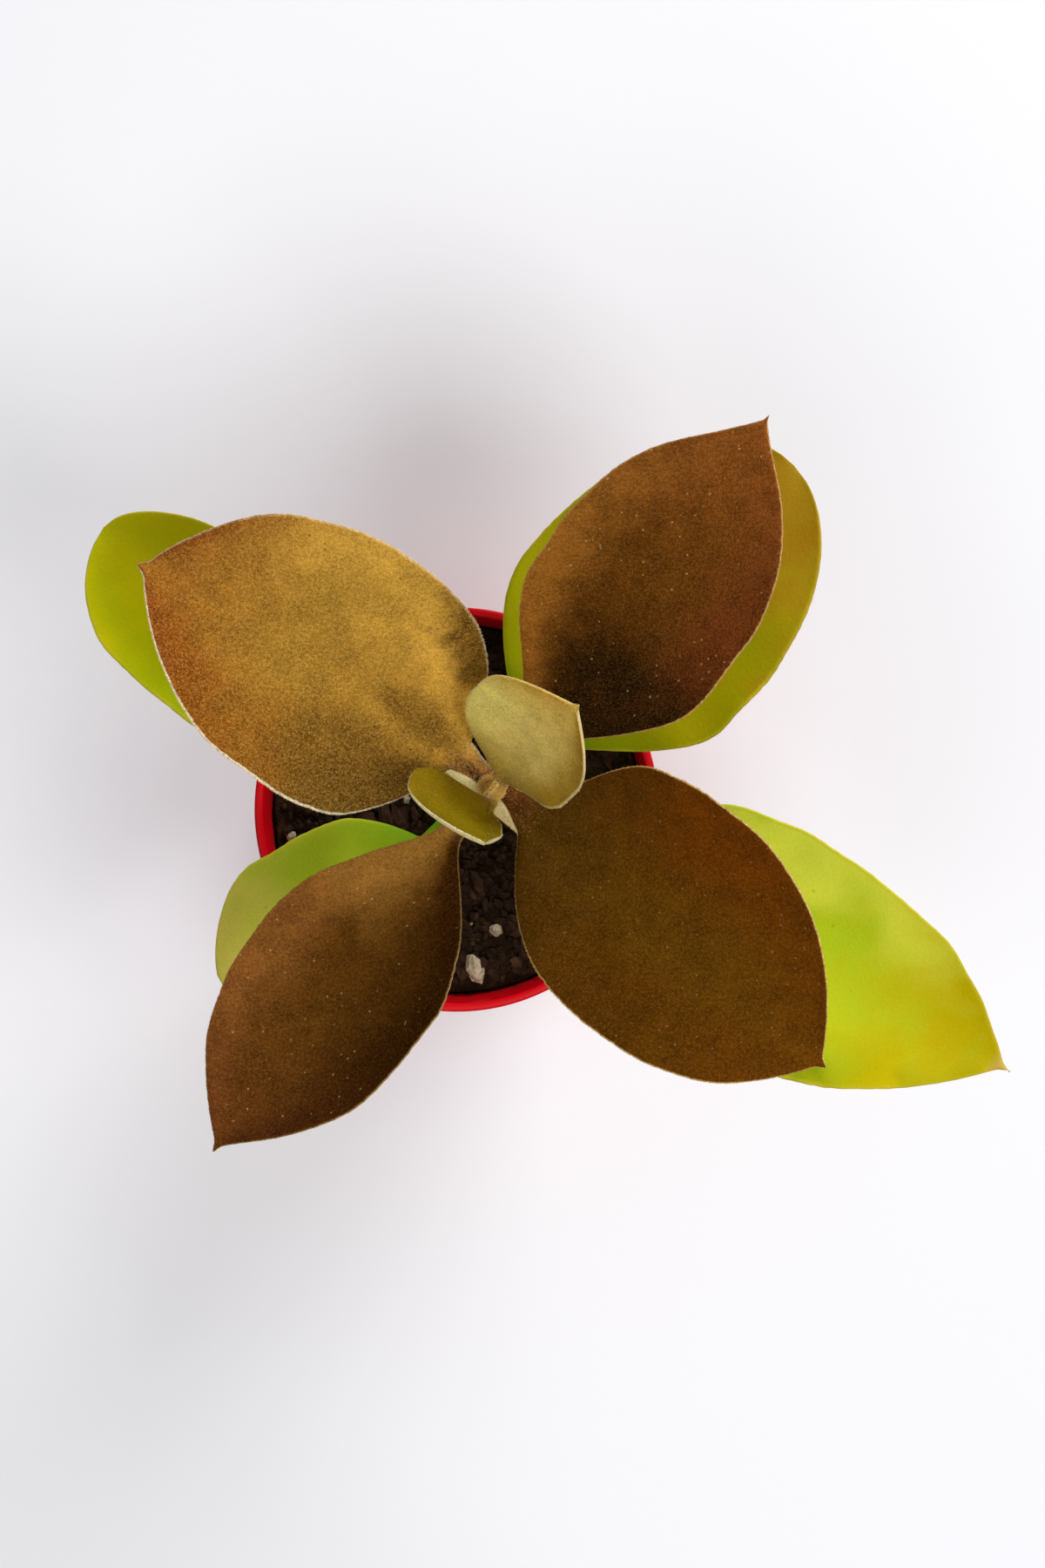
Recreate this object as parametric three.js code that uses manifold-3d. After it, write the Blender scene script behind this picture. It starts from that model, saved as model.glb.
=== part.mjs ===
// A young copper spoons kalanchoe in a small round nursery pot: pot, soil, stem, bud and ten leaves.
// Millimetres, +Z up. The origin is the middle of the pot's base, and the base rests on z = 0.
import * as THREE from "three";
import { mergeVertices } from "three/addons/utils/BufferGeometryUtils.js";
import Module from "manifold-3d";

const wasm = await Module();
wasm.setup();

// Driving sizes of the pot.
const POT_HEIGHT = 62;
const RIM_RADIUS = 35;
const BASE_RADIUS = 23.5;
const SHOULDER_RADIUS = 31;
const SHOULDER_HEIGHT = 49;
const COLLAR_STEP = 2.2;
const WALL = 0.9;
const FLOOR = 1.4;
const LIP_WIDTH = 1.5;
const POT_SIDES = 48;
const DRAIN_HOLES = 6;
const DRAIN_RADIUS = 2.5;
const DRAIN_CIRCLE = 15;

// Soil and what lies in it.
const SOIL_TOP = 54.5;
const GAP = 0.3;
const GRAIN_SEED = 11;
const GRAIN_COUNT = 38;

// The stem leans a little from the middle of the soil to its tip.
const STEM_FOOT = new THREE.Vector3(0, 0, 56);
const STEM_TIP = new THREE.Vector3(6.6, 3.7, 126);
const STEM_ROOT_Z = 33;
const STEM_TOP_Z = 124.2;
const STEM_FOOT_RADIUS = 3.2;
const STEM_TOP_RADIUS = 2.1;
const STEM_SIDES = 12;
const STEM_STEP = 3.2;
const NODE_SWELL = 0.55;
const SCAR_Z = 67;

// Heights on the stem where the five pairs of leaves sit, youngest first.
const PAIR_Z = [122.6, 119, 109, 94, 79];

// Leaf thickness: at the margin, in the middle of the blade and in the stalk.
const MARGIN_THICK = 0.9;
const TIP_HALF_WIDTH = 0.45;

// What a leaf has unless its own row says otherwise. Angles are in degrees: az is the compass
// direction that it leaves the stem in, bend how far it turns on its way, pitch how it rises at
// its foot and at its tip, roll its turn about its own midrib, cup how far each half curls up and
// fold how far each half is hinged up at the midrib. offset is how far out from the stem's middle
// the leaf starts. widest, baseFull, tipFull and tipPoint shape its outline, and skew gives one
// half more width than the other.
const LEAF = {
  offset: 0,
  petiole: 9,
  stalk: 4,
  skew: 0,
  roll: 0,
  bend: 0,
  cupLeft: 35,
  cupRight: 35,
  foldLeft: 0,
  foldRight: 0,
  blade: 2.1,
  stalkThick: 3,
  stations: 18,
  across: 7,
  color: 0x6e4520,
  roughness: 0.85,
};
const YOUNG = {
  offset: 1.5, petiole: 2, stalk: 2.5, blade: 1.5, stalkThick: 1.8, stations: 14, across: 9, color: 0xa89048,
};
const GREEN = { stalk: 4.5, blade: 2.3, color: 0xa8aa22, roughness: 0.45 };

const LEAVES = {
  leaf_1_right: {
    ...YOUNG, pair: 1, az: 47, bend: -7.5, length: 31.5, width: 22.8, pitch: [65, 54], widest: 0.55,
    baseFull: 0.83, tipFull: 2.12, tipPoint: 1.14, skew: 0.09, roll: 1, cupLeft: 20, cupRight: 38,
  },
  leaf_1_left: {
    ...YOUNG, pair: 1, az: 254, bend: 35, length: 27.5, width: 16.5, pitch: [68, 84], widest: 0.53,
    baseFull: 0.97, tipFull: 2, tipPoint: 1, skew: -0.68, roll: -33, cupLeft: 22, cupRight: 19,
    foldLeft: 12, color: 0x7f6a14,
  },
  leaf_2_left: {
    pair: 2, az: 139, bend: 16, length: 67, width: 43, pitch: [38, 8], widest: 0.43, baseFull: 0.63,
    tipFull: 1.46, tipPoint: 0.8, skew: -0.02, stalk: 4.8, roll: -6.5, cupLeft: 45, cupRight: 30,
    color: 0xb48a45,
  },
  leaf_2_right: {
    pair: 2, az: -42, bend: 4.5, length: 69, width: 42, pitch: [36, 4], widest: 0.42, baseFull: 0.77,
    tipFull: 1.68, tipPoint: 0.9, skew: 0.16, stalk: 4.8, roll: 13, color: 0x55320c,
  },
  leaf_3_right: {
    pair: 3, az: 49, bend: 8, length: 76, width: 36, pitch: [34, 8], widest: 0.44, baseFull: 1.37,
    tipFull: 1.86, tipPoint: 1.3, skew: -0.03, roll: -4, color: 0x5f3714,
  },
  leaf_3_left: {
    pair: 3, az: 227.5, bend: 10, length: 72, width: 34.5, pitch: [28, 2], widest: 0.47,
    baseFull: 1.15, tipFull: 1.7, tipPoint: 1.1, skew: 0.18, roll: 6.5, cupLeft: 55, color: 0x643c1e,
  },
  leaf_4_left: {
    ...GREEN, pair: 4, az: 148.5, bend: -7, length: 76, width: 30, pitch: [20, 14], petiole: 16,
    widest: 0.44, baseFull: 0.9, tipFull: 2.07, tipPoint: 0.5, skew: 0.12, roll: -10.5,
  },
  leaf_4_right: {
    ...GREEN, pair: 4, az: -22.5, bend: -10.5, length: 95.5, width: 41, pitch: [14, -4], petiole: 20,
    widest: 0.34, baseFull: 1, tipFull: 1.58, tipPoint: 1, skew: -0.06, roll: 16, color: 0xb8bb20,
  },
  leaf_5_right: {
    ...GREEN, pair: 5, az: 48.5, bend: -4.5, length: 77.5, width: 47, pitch: [24, 2], petiole: 12,
    widest: 0.43, baseFull: 1.13, tipFull: 1.3, tipPoint: 0.5, skew: 0.03, roll: 10.5, color: 0x83800f,
  },
  leaf_5_left: {
    ...GREEN, pair: 5, az: 229.5, bend: -30, length: 53.5, width: 35.5, pitch: [22, 4], petiole: 12,
    widest: 0.51, baseFull: 0.62, tipFull: 1.7, tipPoint: 0.7, skew: 0.1, roll: -2.5, color: 0x8a9423,
  },
};

// The bud is two leaflets that lean together over a small core.
const BUD_LEAFLET = {
  petiole: 0.6, stalk: 1.5, skew: 0, bend: 0, roll: 0, length: 3.8, width: 2.6, pitch: [58, 124],
  widest: 0.5, baseFull: 1, tipFull: 1.8, tipPoint: 1, cupLeft: 60, cupRight: 60, foldLeft: 0,
  foldRight: 0, offset: 0, blade: 0.9, stalkThick: 1, stations: 8, across: 5,
};
const BUD_AZ = [140, 320];
const BUD_LIFT = 0.8;
const BUD_CORE_RADIUS = 1.15;
const BUD_CORE_STRETCH = 1.6;

const rad = THREE.MathUtils.degToRad;
const clamp01 = (x) => THREE.MathUtils.clamp(x, 0, 1);
const smooth = (x) => clamp01(x) ** 2 * (3 - 2 * clamp01(x));

// A seeded draw: the same numbers each run.
function seededDraw(seed) {
  let state = seed;
  return () => {
    state = (Math.imul(state, 1664525) + 1013904223) >>> 0;
    return state / 2 ** 32;
  };
}

// A closed geometry as a solid that can be joined and cut.
function solid(geometry) {
  const bare = geometry.clone();
  bare.deleteAttribute("normal");
  bare.deleteAttribute("uv");
  const merged = mergeVertices(bare, 1e-4);
  return new wasm.Manifold(
    new wasm.Mesh({
      numProp: 3,
      vertProperties: new Float32Array(merged.attributes.position.array),
      triVerts: new Uint32Array(merged.index.array),
    }),
  );
}

function geometryOf(body) {
  const mesh = body.getMesh();
  const geometry = new THREE.BufferGeometry();
  geometry.setAttribute("position", new THREE.BufferAttribute(mesh.vertProperties, 3));
  geometry.setIndex(new THREE.BufferAttribute(mesh.triVerts, 1));
  const flat = geometry.toNonIndexed();
  flat.computeVertexNormals();
  return flat;
}

// A lathe turned about +Z from [radius, height] pairs.
function turned(profile, sides) {
  const points = profile.map(([radius, height]) => new THREE.Vector2(radius, height));
  return new THREE.LatheGeometry(points, sides).rotateX(Math.PI / 2);
}

// A closed geometry from rings of equal point counts: walls between rings, and a cap at each end.
function skinned(rings, capTriangles) {
  const count = rings[0].length;
  const position = rings.flat().flatMap((p) => [p.x, p.y, p.z]);
  const index = [];
  for (let i = 0; i < rings.length - 1; i++) {
    for (let j = 0; j < count; j++) {
      const a = i * count + j;
      const b = i * count + ((j + 1) % count);
      index.push(a, b, b + count, a, b + count, a + count);
    }
  }
  const last = (rings.length - 1) * count;
  for (const [a, b, c] of capTriangles) {
    index.push(a, c, b);
    index.push(last + a, last + b, last + c);
  }
  const geometry = new THREE.BufferGeometry();
  geometry.setAttribute("position", new THREE.Float32BufferAttribute(position, 3));
  geometry.setIndex(index);
  return geometry;
}

// The stem's centre line: it leans at its foot and straightens towards its tip.
function stemAxis(z) {
  const t = Math.min(1, (z - STEM_FOOT.z) / (STEM_TIP.z - STEM_FOOT.z));
  const lean = t * (2 - t);
  const point = STEM_FOOT.clone().lerp(STEM_TIP, lean);
  point.z = z;
  return point;
}

// The stem tapers upwards and swells a little at each pair of leaves and at the old leaf scars.
function stemRadius(z) {
  const t = clamp01((z - SOIL_TOP) / (STEM_TOP_Z - SOIL_TOP));
  const taper = THREE.MathUtils.lerp(STEM_FOOT_RADIUS, STEM_TOP_RADIUS, t);
  const joints = [...PAIR_Z.slice(1), SCAR_Z];
  const swell = joints.reduce((sum, joint) => sum + Math.exp(-(((z - joint) / 2.4) ** 2)), 0);
  return taper + NODE_SWELL * swell * (1 - 0.6 * t);
}

function stemGeometry(extra) {
  const steps = Math.round((STEM_TOP_Z - STEM_ROOT_Z) / STEM_STEP);
  const rings = [];
  for (let i = 0; i <= steps; i++) {
    const z = THREE.MathUtils.lerp(STEM_ROOT_Z, STEM_TOP_Z, i / steps);
    const radius = stemRadius(z) + extra;
    const centre = stemAxis(z);
    const lift = i === 0 ? -extra : i === steps ? extra : 0;
    const ring = [];
    for (let j = 0; j < STEM_SIDES; j++) {
      const angle = (j / STEM_SIDES) * 2 * Math.PI;
      const spoke = new THREE.Vector3(radius * Math.cos(angle), radius * Math.sin(angle), lift);
      ring.push(centre.clone().add(spoke));
    }
    rings.push(ring);
  }
  const fan = [];
  for (let j = 1; j < STEM_SIDES - 1; j++) {
    fan.push([0, j, j + 1]);
  }
  return skinned(rings, fan);
}

// Half of the blade's width at a distance along the midrib, as a share of the widest half: a sine
// rise from the stalk to the widest place, then a cosine fall to the tip.
function outline(distance, leaf) {
  const u = clamp01((distance - leaf.petiole) / (leaf.length - leaf.petiole));
  const rise = Math.sin((Math.PI / 2) * clamp01(u / leaf.widest) ** leaf.baseFull);
  const past = clamp01((u - leaf.widest) / (1 - leaf.widest));
  const fall = Math.max(0, Math.cos((Math.PI / 2) * past ** leaf.tipFull)) ** leaf.tipPoint;
  return { u, share: u < leaf.widest ? rise : fall };
}

// Stations along a leaf crowd towards its tip, where the outline turns most.
function stationShares(count) {
  return Array.from({ length: count + 1 }, (_, i) => {
    const t = i / count;
    return t + 0.09 * Math.sin(Math.PI * t);
  });
}

// A leaf as a closed blade. Its midrib is walked from the stem in short steps that turn and level
// out on the way, and each cross-section is an arc to either side of it.
function leafGeometry(leaf, foot) {
  const walkSteps = 240;
  const out = new THREE.Vector3(Math.cos(rad(leaf.az)), Math.sin(rad(leaf.az)), 0);
  const spine = [foot.clone().addScaledVector(out, leaf.offset)];
  const frameAt = (s) => {
    const pitch = rad(THREE.MathUtils.lerp(leaf.pitch[0], leaf.pitch[1], s));
    const head = rad(leaf.az + leaf.bend * s);
    const along = new THREE.Vector3(
      Math.cos(pitch) * Math.cos(head),
      Math.cos(pitch) * Math.sin(head),
      Math.sin(pitch),
    );
    const level = new THREE.Vector3(-Math.sin(head), Math.cos(head), 0);
    const roll = rad(leaf.roll) * smooth((s * leaf.length) / leaf.petiole / 2);
    const side = level.applyAxisAngle(along, roll);
    return { along, side, up: new THREE.Vector3().crossVectors(along, side) };
  };
  for (let i = 0; i < walkSteps; i++) {
    const step = frameAt((i + 0.5) / walkSteps).along.multiplyScalar(leaf.length / walkSteps);
    spine.push(spine[i].clone().add(step));
  }
  const rings = stationShares(leaf.stations).map((s) => leafSection(leaf, s, spine, frameAt(s)));
  const caps = [];
  const last = 2 * leaf.across - 1;
  for (let j = 0; j < leaf.across - 1; j++) {
    caps.push([j, j + 1, last - j - 1], [j, last - j - 1, last - j]);
  }
  return skinned(rings, caps);
}

// One cross-section of a leaf: its lower face from right to left, then its upper face back again.
function leafSection(leaf, s, spine, frame) {
  const at = s * (spine.length - 1);
  const before = Math.min(Math.floor(at), spine.length - 2);
  const centre = spine[before].clone().lerp(spine[before + 1], at - before);
  const { u, share } = outline(s * leaf.length, leaf);
  const stalk = (leaf.stalk / 2) * (1 - u) ** 2;
  const ramp = 0.35 + 0.65 * smooth(3 * u);
  const lower = [];
  const upper = [];
  for (let j = 0; j < leaf.across; j++) {
    const v = (2 * j) / (leaf.across - 1) - 1;
    const left = v > 0;
    const hand = left ? 1 : -1;
    const half = Math.max(Math.hypot((leaf.width / 2) * (1 + hand * leaf.skew) * share, stalk), TIP_HALF_WIDTH);
    const cup = rad(left ? leaf.cupLeft : leaf.cupRight) * ramp + 1e-6;
    const fold = rad(left ? leaf.foldLeft : leaf.foldRight) * ramp;
    const angle = Math.abs(v) * cup + fold;
    const lateral = (hand * half * (Math.sin(angle) - Math.sin(fold))) / cup;
    const rise = (half * (Math.cos(fold) - Math.cos(angle))) / cup;
    const lean = j === (leaf.across - 1) / 2 ? 0 : angle;
    const normal = frame.up.clone().multiplyScalar(Math.cos(lean)).addScaledVector(frame.side, -hand * Math.sin(lean));
    const middle = THREE.MathUtils.lerp(leaf.stalkThick, leaf.blade, smooth(2.5 * u)) * (1 - 0.45 * u ** 3);
    const thick = MARGIN_THICK + (middle - MARGIN_THICK) * (1 - v * v);
    const point = centre.clone().addScaledVector(frame.side, lateral).addScaledVector(frame.up, rise);
    lower.push(point.clone().addScaledVector(normal, -thick / 2));
    upper.push(point.addScaledVector(normal, thick / 2));
  }
  return [...lower, ...upper.reverse()];
}

// The wall's inner and outer line share their heights, so that the soil can follow the inner one.
function potInside(clearance) {
  const slope = (SHOULDER_RADIUS - BASE_RADIUS) / SHOULDER_HEIGHT;
  const inner = (height) => BASE_RADIUS + slope * height - WALL - clearance;
  const collar = SHOULDER_RADIUS + COLLAR_STEP - WALL - clearance;
  const collarFoot = SHOULDER_HEIGHT + 1.6 + clearance;
  return { inner, collar, collarFoot, floor: FLOOR + clearance };
}

function potGeometry() {
  const inside = potInside(0);
  const collar = SHOULDER_RADIUS + COLLAR_STEP;
  const lipInner = RIM_RADIUS - LIP_WIDTH;
  const shell = turned(
    [
      [0, 0],
      [BASE_RADIUS - 0.8, 0],
      [BASE_RADIUS, 0.8],
      [SHOULDER_RADIUS, SHOULDER_HEIGHT],
      [collar, SHOULDER_HEIGHT + 1],
      [RIM_RADIUS - 0.9, POT_HEIGHT - 2.2],
      [RIM_RADIUS, POT_HEIGHT - 1.8],
      [RIM_RADIUS, POT_HEIGHT - 0.5],
      [RIM_RADIUS - 0.5, POT_HEIGHT],
      [lipInner + 0.4, POT_HEIGHT],
      [lipInner, POT_HEIGHT - 0.4],
      [inside.collar + 0.1, inside.collarFoot + 2],
      [inside.collar, inside.collarFoot],
      [inside.inner(SHOULDER_HEIGHT), SHOULDER_HEIGHT + 0.4],
      [inside.inner(FLOOR), FLOOR],
      [0, FLOOR],
    ],
    POT_SIDES,
  );
  let body = solid(shell);
  for (let i = 0; i < DRAIN_HOLES; i++) {
    const angle = ((i + 0.5) / DRAIN_HOLES) * 2 * Math.PI;
    const hole = new THREE.CylinderGeometry(DRAIN_RADIUS, DRAIN_RADIUS, 4 * FLOOR, 16).rotateX(Math.PI / 2);
    hole.translate(DRAIN_CIRCLE * Math.cos(angle), DRAIN_CIRCLE * Math.sin(angle), 0);
    body = body.subtract(solid(hole));
  }
  return geometryOf(body);
}

// The soil's top is a shallow mound with low lumps, from its middle to the collar.
function soilHeight(x, y) {
  const r = Math.hypot(x, y) / RIM_RADIUS;
  const lumps = 0.5 * Math.sin(0.31 * x + 1.3) * Math.cos(0.27 * y - 0.6) + 0.3 * Math.sin(0.53 * x - 0.47 * y);
  return SOIL_TOP + 0.9 * (1 - r * r) + lumps * (1 - 0.5 * r);
}

function soilBody() {
  const inside = potInside(GAP);
  const profile = [
    [inside.inner(FLOOR), inside.floor],
    [inside.inner(SHOULDER_HEIGHT), SHOULDER_HEIGHT + 0.4 + GAP],
    [inside.collar, inside.collarFoot],
  ];
  const rings = [];
  const ringAt = (radius, height) =>
    Array.from({ length: POT_SIDES }, (_, j) => {
      const angle = (j / POT_SIDES) * 2 * Math.PI;
      const x = radius * Math.cos(angle);
      const y = radius * Math.sin(angle);
      return new THREE.Vector3(x, y, height ?? soilHeight(x, y));
    });
  for (const [radius, height] of profile) {
    rings.push(ringAt(radius, height));
  }
  for (const share of [1, 0.85, 0.68, 0.5, 0.32, 0.15]) {
    rings.push(ringAt(inside.collar * share));
  }
  const fan = [];
  for (let j = 1; j < POT_SIDES - 1; j++) {
    fan.push([0, j, j + 1]);
  }
  return solid(skinned(rings, fan));
}

// Perlite grains and bark bits stand half out of the soil, away from the stem and the wall.
function soilGrains() {
  const draw = seededDraw(GRAIN_SEED);
  const reach = potInside(GAP).collar - 3.2;
  const grains = [];
  for (let i = 0; i < GRAIN_COUNT; i++) {
    const radius = Math.sqrt(0.04 + 0.96 * draw()) * reach;
    const angle = draw() * 2 * Math.PI;
    const size = i % 3 === 0 ? 1.9 + 0.9 * draw() : 1.3 + 1.2 * draw();
    const grain = new THREE.IcosahedronGeometry(size, 0);
    const flatness = i % 3 === 0 ? 0.85 : 0.5;
    grain.scale(1.15, 0.9, flatness);
    grain.rotateX(0.5 * draw()).rotateZ(2 * Math.PI * draw());
    const x = radius * Math.cos(angle);
    const y = radius * Math.sin(angle);
    grain.translate(x, y, soilHeight(x, y) + 0.1 * size);
    grains.push(solid(grain));
  }
  return grains;
}

function soilGeometry() {
  const grown = soilGrains().reduce((body, grain) => body.add(grain), soilBody());
  return geometryOf(grown.subtract(solid(stemGeometry(GAP))));
}

function budGeometry() {
  const foot = stemAxis(STEM_TOP_Z + GAP);
  const core = new THREE.IcosahedronGeometry(BUD_CORE_RADIUS, 1).scale(1, 1, BUD_CORE_STRETCH);
  core.translate(foot.x, foot.y, foot.z + BUD_CORE_RADIUS * BUD_CORE_STRETCH);
  let body = solid(core);
  for (const az of BUD_AZ) {
    const start = foot.clone().setZ(foot.z + BUD_LIFT);
    body = body.add(solid(leafGeometry({ ...BUD_LEAFLET, az }, start)));
  }
  return geometryOf(body);
}

function piece(name, geometry, color, roughness) {
  const material = new THREE.MeshStandardMaterial({ color, roughness, metalness: 0 });
  const mesh = new THREE.Mesh(geometry, material);
  mesh.name = name;
  return mesh;
}

const plant = new THREE.Group();
plant.add(piece("stem", stemGeometry(0), 0x7a5a32, 0.8));
plant.add(piece("terminal_bud", budGeometry(), 0xb08c3c, 0.9));
const stemClearance = solid(stemGeometry(GAP));
for (const [name, row] of Object.entries(LEAVES)) {
  const leaf = { ...LEAF, ...row };
  const blade = solid(leafGeometry(leaf, stemAxis(PAIR_Z[leaf.pair - 1])));
  plant.add(piece(name, geometryOf(blade.subtract(stemClearance)), leaf.color, leaf.roughness));
}

const pottedPlant = new THREE.Group();
pottedPlant.add(piece("pot", potGeometry(), 0xd2001e, 0.35));
pottedPlant.add(piece("soil", soilGeometry(), 0x2a1d16, 0.95));
pottedPlant.add(plant);

export default pottedPlant;
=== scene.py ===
"""A young copper spoons kalanchoe in a small round nursery pot, seen from above.

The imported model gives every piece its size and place. This script gives the pieces their looks: each
leaf is a grid worked out from one formula, with felt hairs on the copper leaves and a waxy skin on the
green ones, and the soil is a lumpy surface with crumbs, bark and perlite on it."""
import math

import bpy
import numpy as np
from bpy.props import FloatProperty, FloatVectorProperty, IntProperty, PointerProperty
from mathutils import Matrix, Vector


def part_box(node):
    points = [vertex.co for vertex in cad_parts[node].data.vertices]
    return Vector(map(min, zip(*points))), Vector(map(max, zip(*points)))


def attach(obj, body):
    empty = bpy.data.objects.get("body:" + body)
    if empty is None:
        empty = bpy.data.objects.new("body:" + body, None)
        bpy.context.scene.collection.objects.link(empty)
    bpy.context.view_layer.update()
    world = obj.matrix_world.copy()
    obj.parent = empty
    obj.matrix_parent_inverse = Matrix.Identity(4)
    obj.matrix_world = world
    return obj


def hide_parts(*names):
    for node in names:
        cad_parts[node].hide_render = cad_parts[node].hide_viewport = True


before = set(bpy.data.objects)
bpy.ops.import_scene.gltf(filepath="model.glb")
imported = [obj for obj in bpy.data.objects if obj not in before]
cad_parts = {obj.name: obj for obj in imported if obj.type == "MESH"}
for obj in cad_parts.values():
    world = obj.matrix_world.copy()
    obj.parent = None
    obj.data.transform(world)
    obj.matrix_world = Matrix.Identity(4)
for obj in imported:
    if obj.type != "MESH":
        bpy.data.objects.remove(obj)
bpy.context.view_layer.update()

bl_info = {
    "name": "Potted copper spoons kalanchoe",
    "version": (1, 0, 0),
    "blender": (4, 5, 0),
    "location": "3D View > Sidebar > Kalanchoe",
    "description": "Makes a potted kalanchoe with felted and green leaves, its soil, pot and stage",
    "category": "Add Mesh",
}

MM = 0.001
BODY = "root"
TAU = 2 * math.pi

# Sizes of the pot and the soil, in metres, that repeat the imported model's own.
POT_LOW, POT_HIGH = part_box("pot")
RIM_RADIUS = POT_HIGH.x
POT_HEIGHT = POT_HIGH.z
BASE_RADIUS = 23.5 * MM
SHOULDER_RADIUS = 31 * MM
SHOULDER_HEIGHT = 49 * MM
STEP_LOW = SHOULDER_HEIGHT + 0.4 * MM
STEP_HIGH = SHOULDER_HEIGHT + 1.6 * MM
COLLAR_RADIUS = 33.2 * MM
WALL = 0.9 * MM
FLOOR = 1.4 * MM
LIP_WIDTH = 1.5 * MM
DRAIN_HOLES = 6
DRAIN_RADIUS = 2.5 * MM
DRAIN_CIRCLE = 15 * MM
DRAIN_SIDES = 48
DRAIN_TURN = 0.02
POLE_RING = 0.01 * MM
GAP = 0.3 * MM
SOIL_TOP = 54.5 * MM

# The stem's line and thickness, in millimetres as on the plan of the plant.
STEM_FOOT = np.array([0.0, 0.0, 56.0])
STEM_TIP = np.array([6.6, 3.7, 126.0])
STEM_TOP_Z = 124.2
STEM_HIDDEN_Z = 46.0
STEM_FOOT_RADIUS = 3.2
STEM_TOP_RADIUS = 2.1
PAIR_Z = [122.6, 119.0, 109.0, 94.0, 79.0]
SCAR_Z = 67.0
JOINT_Z = PAIR_Z[1:] + [SCAR_Z]
NODE_SWELL = 0.55
STEM_DOME = 0.6

# Where each group of random draws starts.
LEAF_SEED = 100
HAIR_SEED = 500
BUD_SEED = 700
BUD_HAIR_SEED = 800
STEM_SEED = 31
SOIL_SEED = 5
BITS_SEED = 21


def srgb(red, green, blue):
    """A screen colour, 0 to 255 a channel, as the linear colour that a shader takes."""
    shares = np.array([red, green, blue]) / 255
    linear = np.where(shares <= 0.04045, shares / 12.92, ((shares + 0.055) / 1.055) ** 2.4)
    return (*linear.tolist(), 1.0)


# What every leaf has unless its own row says otherwise: millimetres and degrees. az is the compass
# direction that it leaves the stem in, bend how far it turns on its way, pitch how it rises at its
# foot and at its tip, roll its turn about its midrib, cup how far each half curls up, and fold how far
# each half is hinged up at the midrib. widest, base_full, tip_full and tip_point shape its outline, and
# point is the length of the small point at its tip, shoulder how far the left and the right margin
# stand out where the stalk ends, and lace the width of its pale rim.
LEAF = dict(
    offset=0, petiole=9, stalk=4, skew=0, roll=0, bend=0, cup=(35, 35), fold=(0, 0), blade=2.1,
    stalk_thick=3, wave=0.16, ripple=0.16, tufts=1100, fringe=2600, fuzz=240, lace=0.12, point=0,
    shoulder=(0, 0), slot="copper_felt",
)
YOUNG = dict(
    slot="young_felt", offset=1.5, petiole=2, stalk=2.5, blade=1.5, stalk_thick=1.8, wave=0.12, ripple=0.1,
    tufts=300, fringe=1300, fuzz=60, lace=0.2,
)
GREEN = dict(slot="green_skin", stalk=4.5, blade=2.3, ripple=0.26, tufts=0, fringe=0, fuzz=0)

# A leaf's tints are its colours in the middle, on its left and right halves, at its tip, foot and stalk.
# They hold painted light and shade besides the leaf's own colour: a half that faces the light is painted
# lighter and one that turns away from it darker, a foot in the shade of the leaves above is painted
# darker, and where the leaves above cast more shade than the real plant has, the half is painted lighter.
# Of the felted ones, grain is how strongly the felt's nap breaks the colour up, frost how far the pale
# hairs cover it, specks and dots how strong its dark and its pale freckles are, and edge the colour of
# its margin. rim is how strong that is on the left and on the right half, from how far along the leaf.
# bare tells where the pale underside comes up beside the stalk: the side, 1 left or -1 right, how far
# out it starts, and how far along the leaf it ends. channel is how strong the painted shade in the
# groove along the midrib beside the stalk is. reach is how far past the stalk the foot's colour
# stays pure and where it ends, foot_side how far out to the left it starts to fade and where it is
# gone, dusk how much painted shade darkens the left and the right margin where the half
# curls away from the light, and mottle how strong soft smudges are.
# stains are painted shadows that the leaves above cast, in the foot's colour: how far along
# and across each lies, how far it reaches each way, and how strong it is. Of the green ones, brown is
# how strong the brown blotches towards the tip are, and tan whether the point is dry.
FELT_TINTS = dict(
    grain=0.8, frost=0.08, specks=0.2, dots=0, edge=(206, 186, 130), rim=(0.6, 0.6, 0), bare=None,
    channel=0, under=(212, 194, 136), reach=(0.02, 0.42), foot_side=None, dusk=(0, 0),
    mottle=0.12, stains=(),
)
GREEN_TINTS = dict(tan=0, brown=0)
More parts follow.
